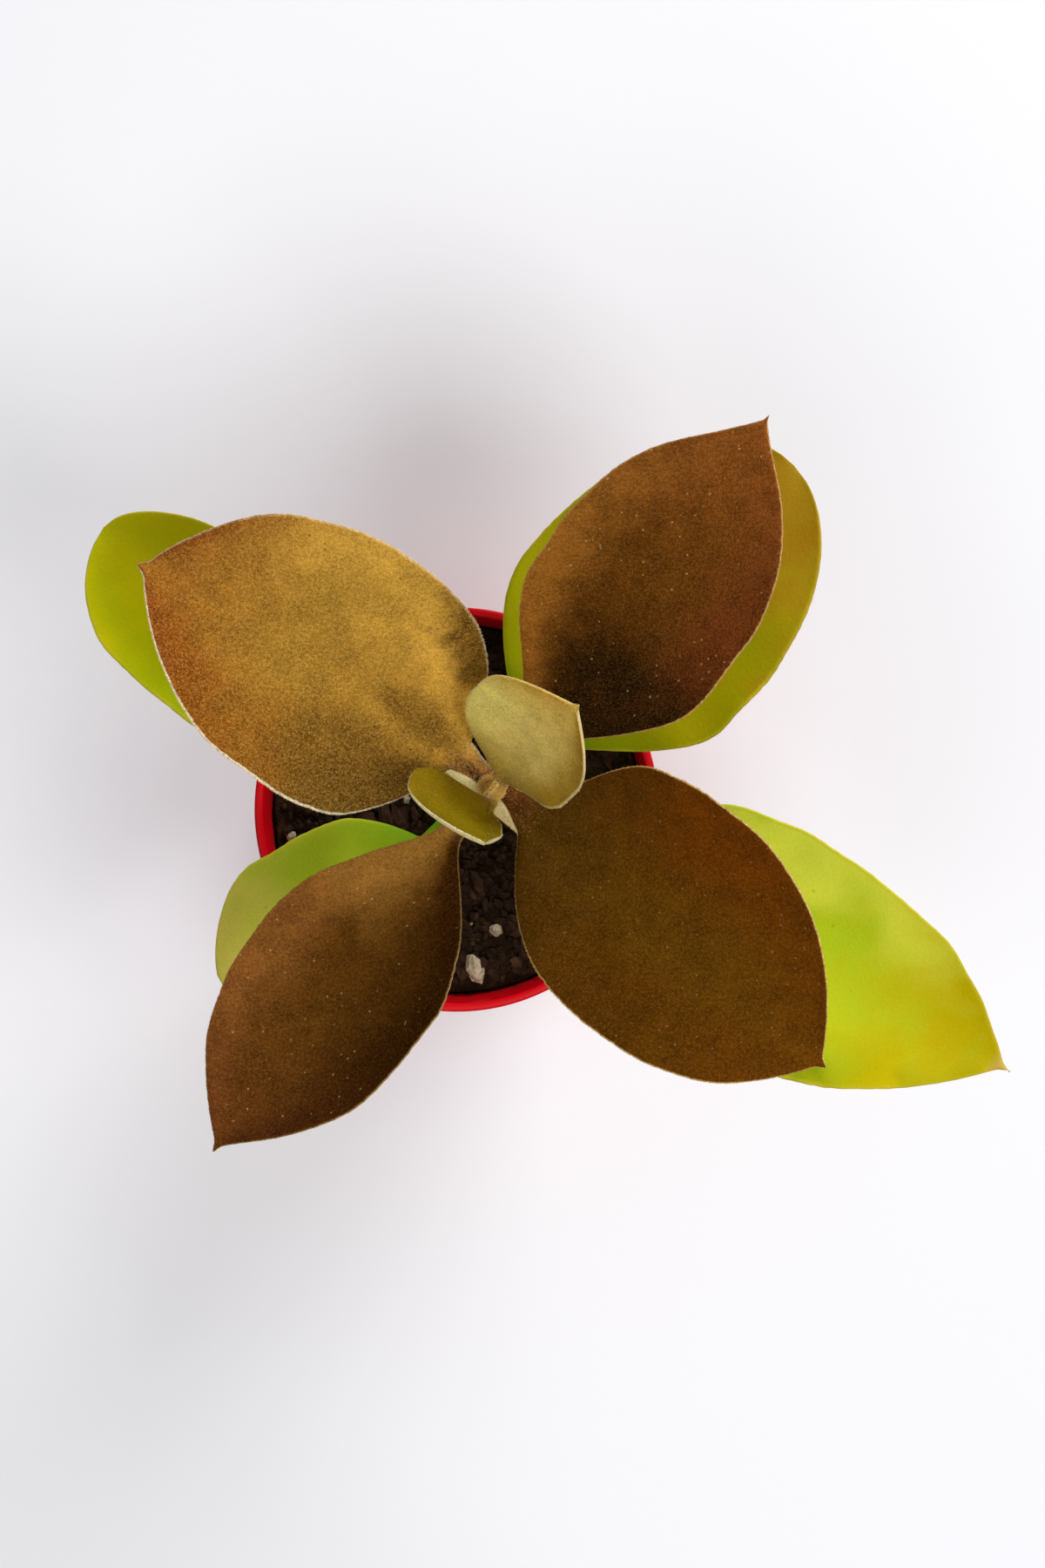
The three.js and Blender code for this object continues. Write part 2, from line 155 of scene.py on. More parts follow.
LEAVES = {
    "leaf_1_right": dict(
        YOUNG, pair=1, az=47, bend=-7.5, length=31.5, width=22.8, pitch=(65, 54), widest=0.55,
        base_full=0.83, tip_full=2.12, tip_point=1.14, skew=0.09, roll=1, cup=(20, 38), point=0.7,
        tints=dict(
            # The pale left half and the darker right half with its darkened margin are partly painted light
            # and shade, where the halves face towards and away from the light.
            middle=(218, 192, 104), left=(234, 216, 116), right=(200, 158, 44), tip=(196, 148, 46),
            foot=(182, 156, 66), stalk=(206, 164, 84), grain=0.8, frost=0.1, specks=0.2,
            edge=(226, 208, 150), rim=(0.25, 1, 0.12), dusk=(0, 0.2), mottle=0.2,
        ),
    ),
    "leaf_1_left": dict(
        YOUNG, pair=1, az=254, bend=35, length=27.5, width=16.5, pitch=(68, 84), widest=0.53,
        base_full=0.97, tip_full=2, tip_point=1, skew=-0.68, roll=-33, cup=(22, 19), fold=(12, 0),
        tints=dict(
            middle=(143, 122, 10), left=(138, 118, 8), right=(132, 108, 14), tip=(104, 90, 4),
            foot=(152, 122, 30), stalk=(190, 146, 66), grain=0.7, frost=0.05, specks=0.1,
            edge=(230, 216, 172), rim=(0.5, 1, 0.8),
        ),
    ),
    "leaf_2_left": dict(
        pair=2, az=139, bend=16, length=67, width=43, pitch=(38, 8), widest=0.43, base_full=0.63,
        tip_full=1.46, tip_point=0.8, skew=-0.02, stalk=4.8, roll=-6.5, cup=(45, 30), point=1.2,
        shoulder=(0, 1.1), lace=0.22, slot="golden_felt",
        tints=dict(
            # The bright right half is partly painted light where it faces the light, and the dark left
            # half, the dark foot on that side and the darker margins are partly painted shade, the foot
            # also painted shadow of the small leaf beside it.
            middle=(158, 115, 38), left=(144, 80, 12), right=(230, 175, 68), tip=(142, 66, 12),
            foot=(104, 68, 16), stalk=(130, 80, 42), grain=1.15, frost=0.34, specks=0.6,
            edge=(244, 230, 192), rim=(1, 0.25, 0), bare=(1, 0.25, 0.2), channel=0.9, dusk=(0.34, 0.16),
            under=(222, 208, 142), reach=(0.22, 0.56), foot_side=(0.7, -0.1), mottle=0.22,
            # Painted shadows that the small leaves above cast near the foot: on the right margin, beside
            # the midrib and on the left half.
            stains=(
                (0.31, -1, 0.17, 0.5, 1),
                (0.285, -0.1, 0.16, 0.26, 0.75),
                (0.34, 0.55, 0.28, 0.55, 0.5),
            ),
        ),
    ),
    "leaf_2_right": dict(
        pair=2, az=-42, bend=4.5, length=69, width=42, pitch=(36, 4), widest=0.42, base_full=0.77,
        tip_full=1.68, tip_point=0.9, skew=0.16, stalk=4.8, roll=13, point=0.9, shoulder=(2.2, 0),
        tints=dict(
            # The darkened right margin is painted shade.
            middle=(92, 57, 4), left=(106, 52, 2), right=(84, 46, 2), tip=(106, 58, 4),
            foot=(76, 48, 6), stalk=(98, 54, 22), grain=1.1, frost=0.06, specks=0.3, dots=0.2,
            edge=(208, 168, 96), rim=(1, 0.9, 0), bare=(-1, 0.05, 0.17), channel=0.5, dusk=(0, 0.14),
            under=(226, 206, 144), mottle=0.24,
        ),
    ),
    "leaf_3_right": dict(
        pair=3, az=49, bend=8, length=76, width=36, pitch=(34, 8), widest=0.44, base_full=1.37,
        tip_full=1.86, tip_point=1.3, skew=-0.03, roll=-4, point=0.4,
        tints=dict(
            # The near-black foot is painted shadow that the leaves above cast on it, and the darkened left
            # margin painted shade.
            middle=(92, 50, 8), left=(166, 104, 36), right=(100, 46, 16), tip=(136, 74, 28),
            foot=(32, 11, 2), stalk=(60, 30, 12), grain=1.2, frost=0.08, specks=0.2, dots=0.4,
            edge=(200, 154, 92), rim=(0.4, 1, 0), reach=(0.22, 0.56), foot_side=(0, 0.8),
            dusk=(0.3, 0), mottle=0.26,
        ),
    ),
    "leaf_3_left": dict(
        pair=3, az=227.5, bend=10, length=72, width=34.5, pitch=(28, 2), widest=0.47, base_full=1.15,
        tip_full=1.7, tip_point=1.1, skew=0.18, roll=6.5, cup=(55, 35), point=0.8,
        tints=dict(
            # The dark left half and its darkened margin are partly painted shade, where that half curls up
            # away from the light.
            middle=(86, 50, 10), left=(60, 28, 2), right=(122, 74, 30), tip=(92, 46, 18),
            foot=(148, 104, 42), stalk=(150, 104, 62), grain=1.2, frost=0.06, specks=0.2, dots=0.4,
            edge=(160, 122, 70), rim=(0.7, 0.3, 0), dusk=(0.3, 0), foot_side=(-0.3, 0.6), mottle=0.24,
        ),
    ),
    "leaf_4_left": dict(
        GREEN, pair=4, az=148.5, bend=-7, length=76, width=30, pitch=(20, 14), petiole=16, widest=0.44,
        base_full=0.9, tip_full=2.07, tip_point=0.5, skew=0.12, roll=-10.5,
        tints=dict(
            # The bright right half is partly painted light, making up for the shade that the leaf above
            # casts on it.
            middle=(158, 168, 0), left=(144, 164, 0), right=(228, 220, 0), tip=(182, 176, 0),
            foot=(152, 158, 4), brown=0.08,
        ),
    ),
    "leaf_4_right": dict(
        GREEN, pair=4, az=-22.5, bend=-10.5, length=95.5, width=41, pitch=(14, -4), petiole=20,
        widest=0.34, base_full=1, tip_full=1.58, tip_point=1, skew=-0.06, roll=16, point=1,
        tints=dict(
            middle=(189, 211, 32), left=(226, 234, 72), right=(104, 134, 0), tip=(188, 170, 0),
            foot=(158, 208, 4), tan=1, brown=0.04,
        ),
    ),
    "leaf_5_right": dict(
        GREEN, pair=5, az=48.5, bend=-4.5, length=77.5, width=47, pitch=(24, 2), petiole=12,
        widest=0.43, base_full=1.13, tip_full=1.3, tip_point=0.5, skew=0.03, roll=10.5,
        tints=dict(
            # The bright left half is partly painted light, making up for the shade that the leaf above
            # casts on it.
            middle=(142, 142, 4), left=(222, 224, 16), right=(148, 142, 2), tip=(160, 124, 20),
            foot=(100, 130, 2), brown=0.6,
        ),
    ),
    "leaf_5_left": dict(
        GREEN, pair=5, az=229.5, bend=-30, length=53.5, width=35.5, pitch=(22, 4), petiole=12,
        widest=0.51, base_full=0.62, tip_full=1.7, tip_point=0.7, skew=0.1, roll=-2.5,
        tints=dict(
            # The bright middle is partly painted light, making up for the shade that the leaf above casts
            # on it.
            middle=(176, 206, 32), left=(150, 184, 16), right=(166, 184, 36), tip=(202, 188, 82),
            foot=(96, 134, 0),
        ),
    ),
}
GREENS = [name for name, row in LEAVES.items() if row.get("slot") == "green_skin"]
FELTED = [name for name in LEAVES if name not in GREENS]

# The bud is two leaflets that lean together over a small core.
BUD_LEAFLET = dict(
    petiole=0.6, stalk=1.5, length=3.8, width=2.6, pitch=(58, 124), widest=0.5, base_full=1, tip_full=1.8,
    tip_point=1, cup=(60, 60), blade=0.9, stalk_thick=1, wave=0, ripple=0, tufts=420, fringe=420,
    fuzz=120, lace=0.1, point=0.4,
)
BUD_AZ = [140, 320]
BUD_TINTS = dict(
    FELT_TINTS, middle=(206, 168, 82), left=(200, 158, 72), right=(200, 158, 72), tip=(214, 178, 96),
    foot=(182, 126, 64), stalk=(182, 126, 64), grain=0.9, frost=0.3, specks=0, edge=(244, 222, 150),
    rim=(1, 1, 0), under=(214, 172, 90),
)
BUD_STEPS = 40
BUD_AROUND = 32
BUD_HAIR = 2.1
BUD_CORE_RADIUS = 1.15
BUD_CORE_STRETCH = 1.6
BUD_LIFT = 0.8
HAIR_WIDTH = 0.07
HAIR_ROOT = 0.05
HAIR_ASIDE = np.array([0.31, 0.52, 0.79])
STEM_HAIRS = 1800
STEM_FUZZ_DEPTH = 22

# Colours of single marks and finishes.
# Painted shade in the groove along the midrib beside the stalk.
GROOVE_SHADE_BROWN = srgb(66, 26, 8)
DARK_FRECKLE = srgb(44, 24, 4)
PALE_FRECKLE = srgb(214, 180, 120)
BLOTCH_BROWN = srgb(146, 108, 10)
DRY_TAN = srgb(196, 158, 88)
MARGIN_YELLOW = srgb(196, 176, 50)
SKIN_SPECK = srgb(96, 108, 6)
GREEN_UNDERSIDE = srgb(150, 160, 70)
STEM_CORK = srgb(128, 100, 66)
STEM_BROWN = srgb(166, 114, 52)
STEM_GOLD = srgb(196, 152, 70)
SCAR_BROWN = srgb(96, 58, 34)
SOILED_PLASTIC = srgb(58, 30, 24)
DRY_PEAT = srgb(66, 44, 26)
WORN_BARK = srgb(68, 44, 29)
STAINED_PERLITE = srgb(150, 134, 112)

# The bits on the soil: how finely each one's ball is divided, the smallest and the largest size, the
# shape, how rough it is, how much of it is sunk, how far it tilts, and how far it keeps from the wall.
BITS = {
    "peat_crumbs": (1, (0.35, 1.0), (1.1, 0.9, 0.7), 0.16, 0.45, 0.5, 1.2),
    "bark_bits": (2, (0.6, 1.6), (1.5, 0.75, 0.34), 0.15, 0.3, 0.35, 2.6),
    "perlite_grains": (2, (0.4, 1.1), (1.1, 0.95, 0.8), 0.09, 0.35, 0.5, 2.8),
}
STEM_CLEARANCE = 4.5

# The larger perlite grains: their places on the soil and their radii, in millimetres.
PERLITE_LUMPS = [(3.0, -27.9, 1.9), (6.8, -21.2, 1.1), (-9.0, 1.8, 0.9), (-29.0, -4.7, 1.0)]

# The lights: azimuth and elevation in degrees, width in metres, and tint.
LIGHTS = {
    "key": (-30, 65, 0.6, (1.0, 0.995, 0.985)),
    "low": (60, 25, 0.9, (0.99, 0.995, 1.0)),
    "back": (-120, 65, 0.9, (1.0, 0.995, 0.985)),
}
LIGHT_DISTANCE = 1.5
ROOM_TINT = (0.97, 0.98, 1.0, 1.0)
FLOOR_SIZE = 6


def colour_setting(name, what, red, green, blue):
    """A colour that a user can change."""
    return FloatVectorProperty(
        name=name, description="Colour of " + what, subtype="COLOR", size=4,
        default=srgb(red, green, blue), min=0, max=1,
    )


def number_setting(name, what, default, most, least=0):
    """A whole number that a user can change."""
    return IntProperty(name=name, description=what, default=default, min=least, max=most)


def length_setting(name, what, default):
    """A length that a user can change."""
    return FloatProperty(name=name, description=what, default=default, unit="LENGTH")


def power_setting(name, what, watts):
    """A light's power that a user can change."""
    return FloatProperty(name=name, description="Power of " + what, default=watts, unit="POWER")


class PotSettings(bpy.types.PropertyGroup):
    """The pot's finish."""

    red: colour_setting("Plastic", "the pot's plastic", 204, 0, 18)
    turns: number_setting("Sides", "Steps round the pot", 180, 400, 24)


class LeafSettings(bpy.types.PropertyGroup):
    """What all leaves share."""

    margin_thick: length_setting("Margin", "Thickness of a leaf at its margin", 0.55 * MM)
    hair: length_setting("Felt hair", "Length of the felt's hairs", 0.26 * MM)
    hair_tint: colour_setting("Hair tips", "the palest hairs on the felt", 218, 178, 88)
    felt_steps: number_setting("Felted steps", "Steps along a felted leaf", 250, 400, 20)
    green_steps: number_setting("Green steps", "Steps along a green leaf", 150, 400, 20)
    around: number_setting("Around", "Steps round a leaf's section", 108, 400, 16)


class SoilSettings(bpy.types.PropertyGroup):
    """The potting mix."""

    peat: colour_setting("Peat", "the mix between its bits", 38, 24, 13)
    bark: colour_setting("Bark", "the bark bits", 42, 26, 16)
    perlite: colour_setting("Perlite", "the perlite grains", 176, 162, 136)
    peat_crumbs: number_setting("Crumbs", "Number of peat crumbs", 2200, 4000)
    bark_bits: number_setting("Bark bits", "Number of bark bits", 230, 1000)
    perlite_grains: number_setting("Perlite grains", "Number of perlite grains", 26, 300)


class StageSettings(bpy.types.PropertyGroup):
    """The camera, the lights and the floor."""

    camera: FloatVectorProperty(
        name="Camera", description="Place of the camera, which looks straight down", subtype="XYZ",
        unit="LENGTH", default=(11.4 * MM, 4.43 * MM, 637 * MM),
    )
    lens: FloatProperty(
        name="Lens", description="Focal length on a sensor 36 mm high", default=76.36, min=10, max=300,
    )
    floor: colour_setting("Floor", "the pale floor", 236, 236, 240)
    key: power_setting("Key", "the high light", 10.1)
    low: power_setting("Low", "the low light", 18.1)
    back: power_setting("Back", "the weak high light", 4.9)
    fill: FloatProperty(name="Fill", description="Strength of the light from all round", default=0.24)


def smooth(x):
    """The soft step from 0 to 1: three times the square less twice the cube."""
    x = np.clip(x, 0, 1)
    return x * x * (3 - 2 * x)


def bell(x):
    """A bell shape, 1 at 0: e to the power of less the square."""
    return np.exp(-x * x)


def unit(vectors):
    """The vectors at length 1."""
    return vectors / np.maximum(np.linalg.norm(vectors, axis=1, keepdims=True), 1e-9)


def turn_steps(count):
    """Angles evenly round a whole turn."""
    return np.arange(count) / count * TAU


def round_points(radius, angle, height):
    """Points at a radius, an angle and a height about the Z axis."""
    return np.stack(np.broadcast_arrays(radius * np.cos(angle), radius * np.sin(angle), height), -1)


def three_ways(aside, other):
    """Three directions a third of a turn apart, in the plane of two that are square to each other."""
    return [aside * math.cos(turn) + other * math.sin(turn) for turn in (0, TAU / 3, TAU * 2 / 3)]


def ripples(seed, count, shortest, longest):
    """A random smooth wave over a plane, as a function: the mean of a number of sines with seeded
    directions, phases and wavelengths, so it lies between -1 and 1."""
    draw = np.random.default_rng(seed)
    turn = draw.uniform(0, TAU, count)
    number = TAU / draw.uniform(shortest, longest, count)
    phase = draw.uniform(0, TAU, count)

    def wave(x, y):
        total = 0
        for k in range(count):
            total = total + np.sin(number[k] * (x * np.cos(turn[k]) + y * np.sin(turn[k])) + phase[k])
        return total / math.sqrt(count)

    return wave


def stem_axis(z):
    """The stem's middle at heights z, in millimetres: it leaves its foot at a lean, and the lean eases
    off along a parabola towards the tip."""
    z = np.asarray(z, float)
    share = np.minimum(1, (z - STEM_FOOT[2]) / (STEM_TIP[2] - STEM_FOOT[2]))
    lean = share * (2 - share)
    middle = STEM_FOOT + (STEM_TIP - STEM_FOOT) * lean[..., None]
    middle[..., 2] = z
    return middle


def stem_share(z):
    """How far up the seen stem a height is: 0 at the soil and 1 at the top."""
    return (z - SOIL_TOP / MM) / (STEM_TOP_Z - SOIL_TOP / MM)


def stem_radius(z):
    """The stem's radius in millimetres: a straight taper with a bell-shaped swelling at each pair of
    leaves and at the old leaf scars."""
    share = np.clip(stem_share(z), 0, 1)
    taper = STEM_FOOT_RADIUS + (STEM_TOP_RADIUS - STEM_FOOT_RADIUS) * share
    swell = sum(bell((z - joint) / 2.4) for joint in JOINT_Z)
    return taper + NODE_SWELL * swell * (1 - 0.6 * share)


class Leaf:
    """One leaf's form. A place on it is s, the share of its length from the stem, v, from -1 at the
    right margin to 1 at the left one, and h, millimetres above the blade's middle layer."""

    WALK = 400

    def __init__(self, row, foot, margin_thick, seed):
        for name, value in {**LEAF, **row}.items():
            setattr(self, name, value)
        self.margin = margin_thick / MM
        self.stalk_end = self.petiole / self.length
        self.edge_wave = ripples(seed, 7, 8, 24)
        self.fine_wave = ripples(seed + 1, 9, 0.9, 2.4)
        self.face_wave = ripples(seed + 2, 9, 9, 30)
        step = (np.arange(self.WALK) + 0.5) / self.WALK
        along, _, _ = self.frame(step)
        out = np.radians(self.az)
        start = foot + self.offset * np.array([np.cos(out), np.sin(out), 0])
        walked = np.cumsum(along, 0) * self.length / self.WALK
        self.spine = np.vstack([start, start + walked])

    def frame(self, s):
        """The directions along, to the left and up at s: the heading and the pitch change evenly from
        foot to tip, and the blade turns about its midrib as it leaves the stalk."""
        pitch = np.radians(self.pitch[0] + (self.pitch[1] - self.pitch[0]) * s)
        head = np.radians(self.az + self.bend * s)
        along = np.stack([np.cos(pitch) * np.cos(head), np.cos(pitch) * np.sin(head), np.sin(pitch)], -1)
        level = np.stack([-np.sin(head), np.cos(head), np.zeros_like(s)], -1)
        upright = np.cross(along, level)
        roll = (np.radians(self.roll) * smooth(s * self.length / self.petiole / 2))[..., None]
        side = level * np.cos(roll) + upright * np.sin(roll)
        return along, side, np.cross(along, side)

    def blade_share(self, s):
        """How far along the blade s is: 0 up to the end of the stalk, and 1 at the tip."""
        return np.clip((s * self.length - self.petiole) / (self.length - self.petiole), 0, 1)

    def half_width(self, s, left):
        """Half the width on one side: a sine rise from the stalk to the widest place, a cosine fall to
        the tip, the stalk's own width, a bell-shaped shoulder where the stalk ends, and small waves
        along the margin."""
        u = self.blade_share(s)
        rise = np.sin(math.pi / 2 * np.clip(u / self.widest, 0, 1) ** self.base_full)
        past = np.clip((u - self.widest) / (1 - self.widest), 0, 1)
        fall = np.maximum(0, np.cos(math.pi / 2 * past**self.tip_full)) ** self.tip_point
        share = np.where(u < self.widest, rise, fall)
        hand = np.where(left, 1, -1)
        blade = self.width / 2 * (1 + hand * self.skew) * share
        here = s * self.length
        stalk = self.stalk / 2 * (1 - u) ** 2 * (1 + 0.35 * np.exp(-here / 3))
        shoulder = np.where(left, *self.shoulder) * bell((here - self.petiole) / 3.2)
        wave = self.wave * (self.edge_wave(here, 40 * hand) + 0.25 * self.fine_wave(here, 20 * hand))
        return np.maximum(np.hypot(blade, stalk) + shoulder + wave * np.clip(share, 0, 1) ** 0.5, 0.04)

    def place(self, s, v, h):
        """Points in space, and the blade's normals there. Each half of a section is an arc that starts
        level, or hinged up by its fold, and curls up by its cup."""
        left = v > 0
        half = self.half_width(s, left)
        ramp = 0.35 + 0.65 * smooth(3 * self.blade_share(s))
        cup = np.radians(np.where(left, *self.cup)) * ramp + 1e-6
        fold = np.radians(np.where(left, *self.fold)) * ramp
        angle = np.abs(v) * cup + fold
        hand = np.where(left, 1, -1)
        lateral = hand * half * (np.sin(angle) - np.sin(fold)) / cup
        rise = half * (np.cos(fold) - np.cos(angle)) / cup
        lean = angle * np.clip(np.abs(v) * 12, 0, 1)
        along, side, up = self.frame(s)
        at = s * self.WALK
        middle = np.stack([np.interp(at, np.arange(self.WALK + 1), self.spine[:, k]) for k in range(3)], -1)
        normal = up * np.cos(lean)[..., None] - side * (hand * np.sin(lean))[..., None]
        swell = self.ripple * self.face_wave(s * self.length, v * half) * smooth(3 * self.blade_share(s))
        lift = (h + swell)[..., None]
        near_tip = smooth((s - 1) * self.length / (2.2 * self.point + 0.1) + 1)
        ahead = self.point * near_tip * bell(lateral / (0.55 * self.point + 0.1))
        middle = middle + along * ahead[..., None]
        return middle + side * lateral[..., None] + up * rise[..., None] + normal * lift, normal

    def face_height(self, s, v, upper):
        """Height of the upper or lower skin above the middle layer: a lens from the midrib to the
        margin, rounded off at the margin, with a channel along the top and a rib along the bottom."""
        u = self.blade_share(s)
        half = self.half_width(s, v > 0)
        middle = self.stalk_thick + (self.blade - self.stalk_thick) * smooth(2.5 * u)
        middle = middle * (1 - 0.5 * u**3)
        thick = self.margin + (middle - self.margin) * (1 - v * v)
        thick = thick * (0.15 + 0.85 * smooth(half / 1.6))
        round_off = np.sqrt(np.clip(1 - np.abs(v) ** np.clip(2 * half / self.margin, 2, 70), 0, 1))
        across = v * half
        channel = 0.34 * bell(across / 1.3) * (1 - smooth(1.3 * u)) * np.clip(half / 2, 0, 1)
        rib = 0.42 * bell(across / 1.1) * (1 - u) ** 1.2 * smooth(4 * u)
        return np.where(upper, thick / 2 - channel, -thick / 2 - rib) * round_off

    def top(self, s, v):
        """Points on the upper skin, and the blade's normals there."""
        return self.place(s, v, self.face_height(s, v, np.ones_like(s, bool)))

    def skin(self, stations, around):
        """Rings of points round the leaf from foot to tip, with, for each point, how far along and
        across it is, how much it faces down, and how many millimetres it is from the margin. The angle
        round a section gives v as minus its cosine, so the points crowd at the margins."""
        t = np.linspace(0, 1, stations)
        s = (t + 0.09 * np.sin(math.pi * t))[:, None]
        s, angle = np.broadcast_arrays(s, turn_steps(around))
        v = -np.cos(angle)
        h = self.face_height(s, v, np.sin(angle) >= 0)
        points, _ = self.place(s, v, h)
        under = 0.5 - 0.5 * np.clip(h / (self.margin / 2), -1, 1)
        rim = self.half_width(s, v > 0) * (1 - np.abs(v))
        return points, dict(along=s, across=v, under=under, rim=rim)


def skin_faces(rings, around):
    """The quads between closed rings, and a fan of triangles at each end to a pole vertex: the pole of
    the first ring comes after all ring points, and that of the last ring after it."""
    i, j = np.meshgrid(np.arange(rings - 1), np.arange(around), indexing="ij")
    here = i * around + j
    beside = i * around + (j + 1) % around
    quads = np.stack([here, here + around, beside + around, beside], -1).reshape(-1, 4)
    edge = np.arange(around)
    after = (edge + 1) % around
    last = (rings - 1) * around
    pole = rings * around
    first_fan = np.stack([np.full(around, pole), edge, after], -1)
    last_fan = np.stack([np.full(around, pole + 1), last + after, last + edge], -1)
    return quads.tolist() + first_fan.tolist() + last_fan.tolist()


def linked(name, data):
    """A new object of the scene."""
    made = bpy.data.objects.new(name, data)
    bpy.context.scene.collection.objects.link(made)
    return made


def piece_from(name, points, faces, paint, attributes=None, smooth_faces=True):
    """A mesh object at the origin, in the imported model's frame, that rides with the plant. points are
    millimetres, and attributes are numbers for each point."""
    mesh = bpy.data.meshes.new(name)
    mesh.from_pydata((np.asarray(points).reshape(-1, 3) * MM).tolist(), [], faces)
    for key, values in (attributes or {}).items():
        layer = mesh.attributes.new(key, "FLOAT", "POINT")
        layer.data.foreach_set("value", np.ascontiguousarray(values, np.float32).ravel())
    mesh.polygons.foreach_set("use_smooth", np.full(len(mesh.polygons), smooth_faces))
    mesh.materials.append(paint)
    mesh.update()
    piece = linked(name, mesh)
    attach(piece, BODY)
    return piece


def with_poles(rings, attributes):
    """The points of a stack of rings and their numbers, with a pole in the middle of each end ring."""
    poles = np.stack([rings[0].mean(0), rings[-1].mean(0)])
    values = {
        key: np.concatenate([value.ravel(), [value[0].mean(), value[-1].mean()]])
        for key, value in attributes.items()
    }
    return np.vstack([rings.reshape(-1, 3), poles]), values


def skinned_piece(name, rings, attributes, paint):
    """A closed piece from rings of points."""
    points, values = with_poles(rings, attributes)
    return piece_from(name, points, skin_faces(*rings.shape[:2]), paint, values)


def darts(feet, tips, width):
    """Closed three-sided hairs from feet to tips: each is a triangle of the given width across its
    foot, square to the hair, and a point at its tip."""
    along = unit(tips - feet)
    aside = unit(np.cross(along, HAIR_ASIDE))
    corners = [feet + way * width / 2 for way in three_ways(aside, np.cross(along, aside))]
    points = np.stack([*corners, tips], 1).reshape(-1, 3)
    start = 4 * np.arange(len(feet))[:, None, None]
    faces = start + np.array([[0, 2, 1], [0, 1, 3], [1, 2, 3], [2, 0, 3]])
    return points, faces.reshape(-1, 3).tolist()


def felt_hairs(leaf, hair, seed):
    """Feet, tips and paleness of a leaf's hairs: a fringe that leans out along both margins, single
    hairs all over the stalk, and three-armed tufts scattered over the upper face."""
    draw = np.random.default_rng(seed)
    s = draw.uniform(leaf.stalk_end * 0.2, 0.998, leaf.fringe)
    hand = np.where(draw.random(leaf.fringe) < 0.5, -1.0, 1.0)
    reach = (hair * draw.uniform(0.45, 1.1, leaf.fringe))[:, None]
    feet, normal = leaf.place(s, hand * 0.9985, 0 * s)
    inner, _ = leaf.place(s, hand * 0.97, 0 * s)
    lean = draw.normal(0, 0.45, (leaf.fringe, 3))
    way = unit(unit(feet - inner) + lean + normal * draw.uniform(-0.5, 0.8, (leaf.fringe, 1)))
    pale_from = leaf.tints["rim"][2]
    pale = draw.uniform(0.7, 1, leaf.fringe) * (0.25 + 0.75 * smooth((s - pale_from) / 0.16 + 1.75))
    every = [(feet - way * HAIR_ROOT, feet + way * reach, pale)]
    s = draw.uniform(0.02, 1.3 * leaf.stalk_end, leaf.fuzz)
    v = draw.uniform(-1, 1, leaf.fuzz)
    feet, normal = leaf.top(s, v)
    way = unit(normal + draw.normal(0, 0.5, (leaf.fuzz, 3)))
    reach = (hair * draw.uniform(0.8, 1.9, leaf.fuzz))[:, None]
    every.append((feet - way * HAIR_ROOT, feet + way * reach, draw.uniform(0.3, 1, leaf.fuzz)))
    s = draw.uniform(leaf.stalk_end, 0.985, leaf.tufts)
    v = draw.uniform(-0.97, 0.97, leaf.tufts)
    heart, normal = leaf.top(s, v)
    aside = unit(np.cross(normal, draw.normal(0, 1, (leaf.tufts, 3))))
    reach = (hair * draw.uniform(0.3, 0.65, leaf.tufts))[:, None]
    pale = draw.uniform(0, 1, leaf.tufts) ** 2 * 0.7
    for way in three_ways(aside, np.cross(normal, aside)):
        every.append((heart - normal * 0.03, heart + (way + normal * 0.45) * reach, pale))
    return [np.concatenate(parts) for parts in zip(*every)]


class Value:
    """A number that changes over a surface. It wraps a socket, so sums of values are written as Python
    sums, and each adds its Math node."""

    def __init__(self, paint, socket):
        self.paint = paint
        self.socket = socket

    def math(self, operation, *others, clamp=False):
        inputs = dict(enumerate((self, *others)))
        return self.paint.node("Math", dict(operation=operation, use_clamp=clamp), inputs)

    def __add__(self, other):
        return self.math("ADD", other)

    def __sub__(self, other):
        return self.math("SUBTRACT", other)

    def __rsub__(self, other):
        return self.paint.node("Math", dict(operation="SUBTRACT"), {0: other, 1: self})

    def __mul__(self, other):
        return self.math("MULTIPLY", other)

    def __abs__(self):
        return self.math("ABSOLUTE")

    __radd__ = __add__
    __rmul__ = __mul__

    def held(self):
        """The value kept between 0 and 1."""
        return self.math("ADD", 0.0, clamp=True)

    def step(self, low, high):
        """A soft step: 0 below low, 1 above high. Where low is above high the step goes down."""
        if low > high:
            return 1 - self.step(high, low)
        settings = dict(interpolation_type="SMOOTHSTEP")
        return self.paint.node("MapRange", settings, {"Value": self, "From Min": low, "From Max": high})


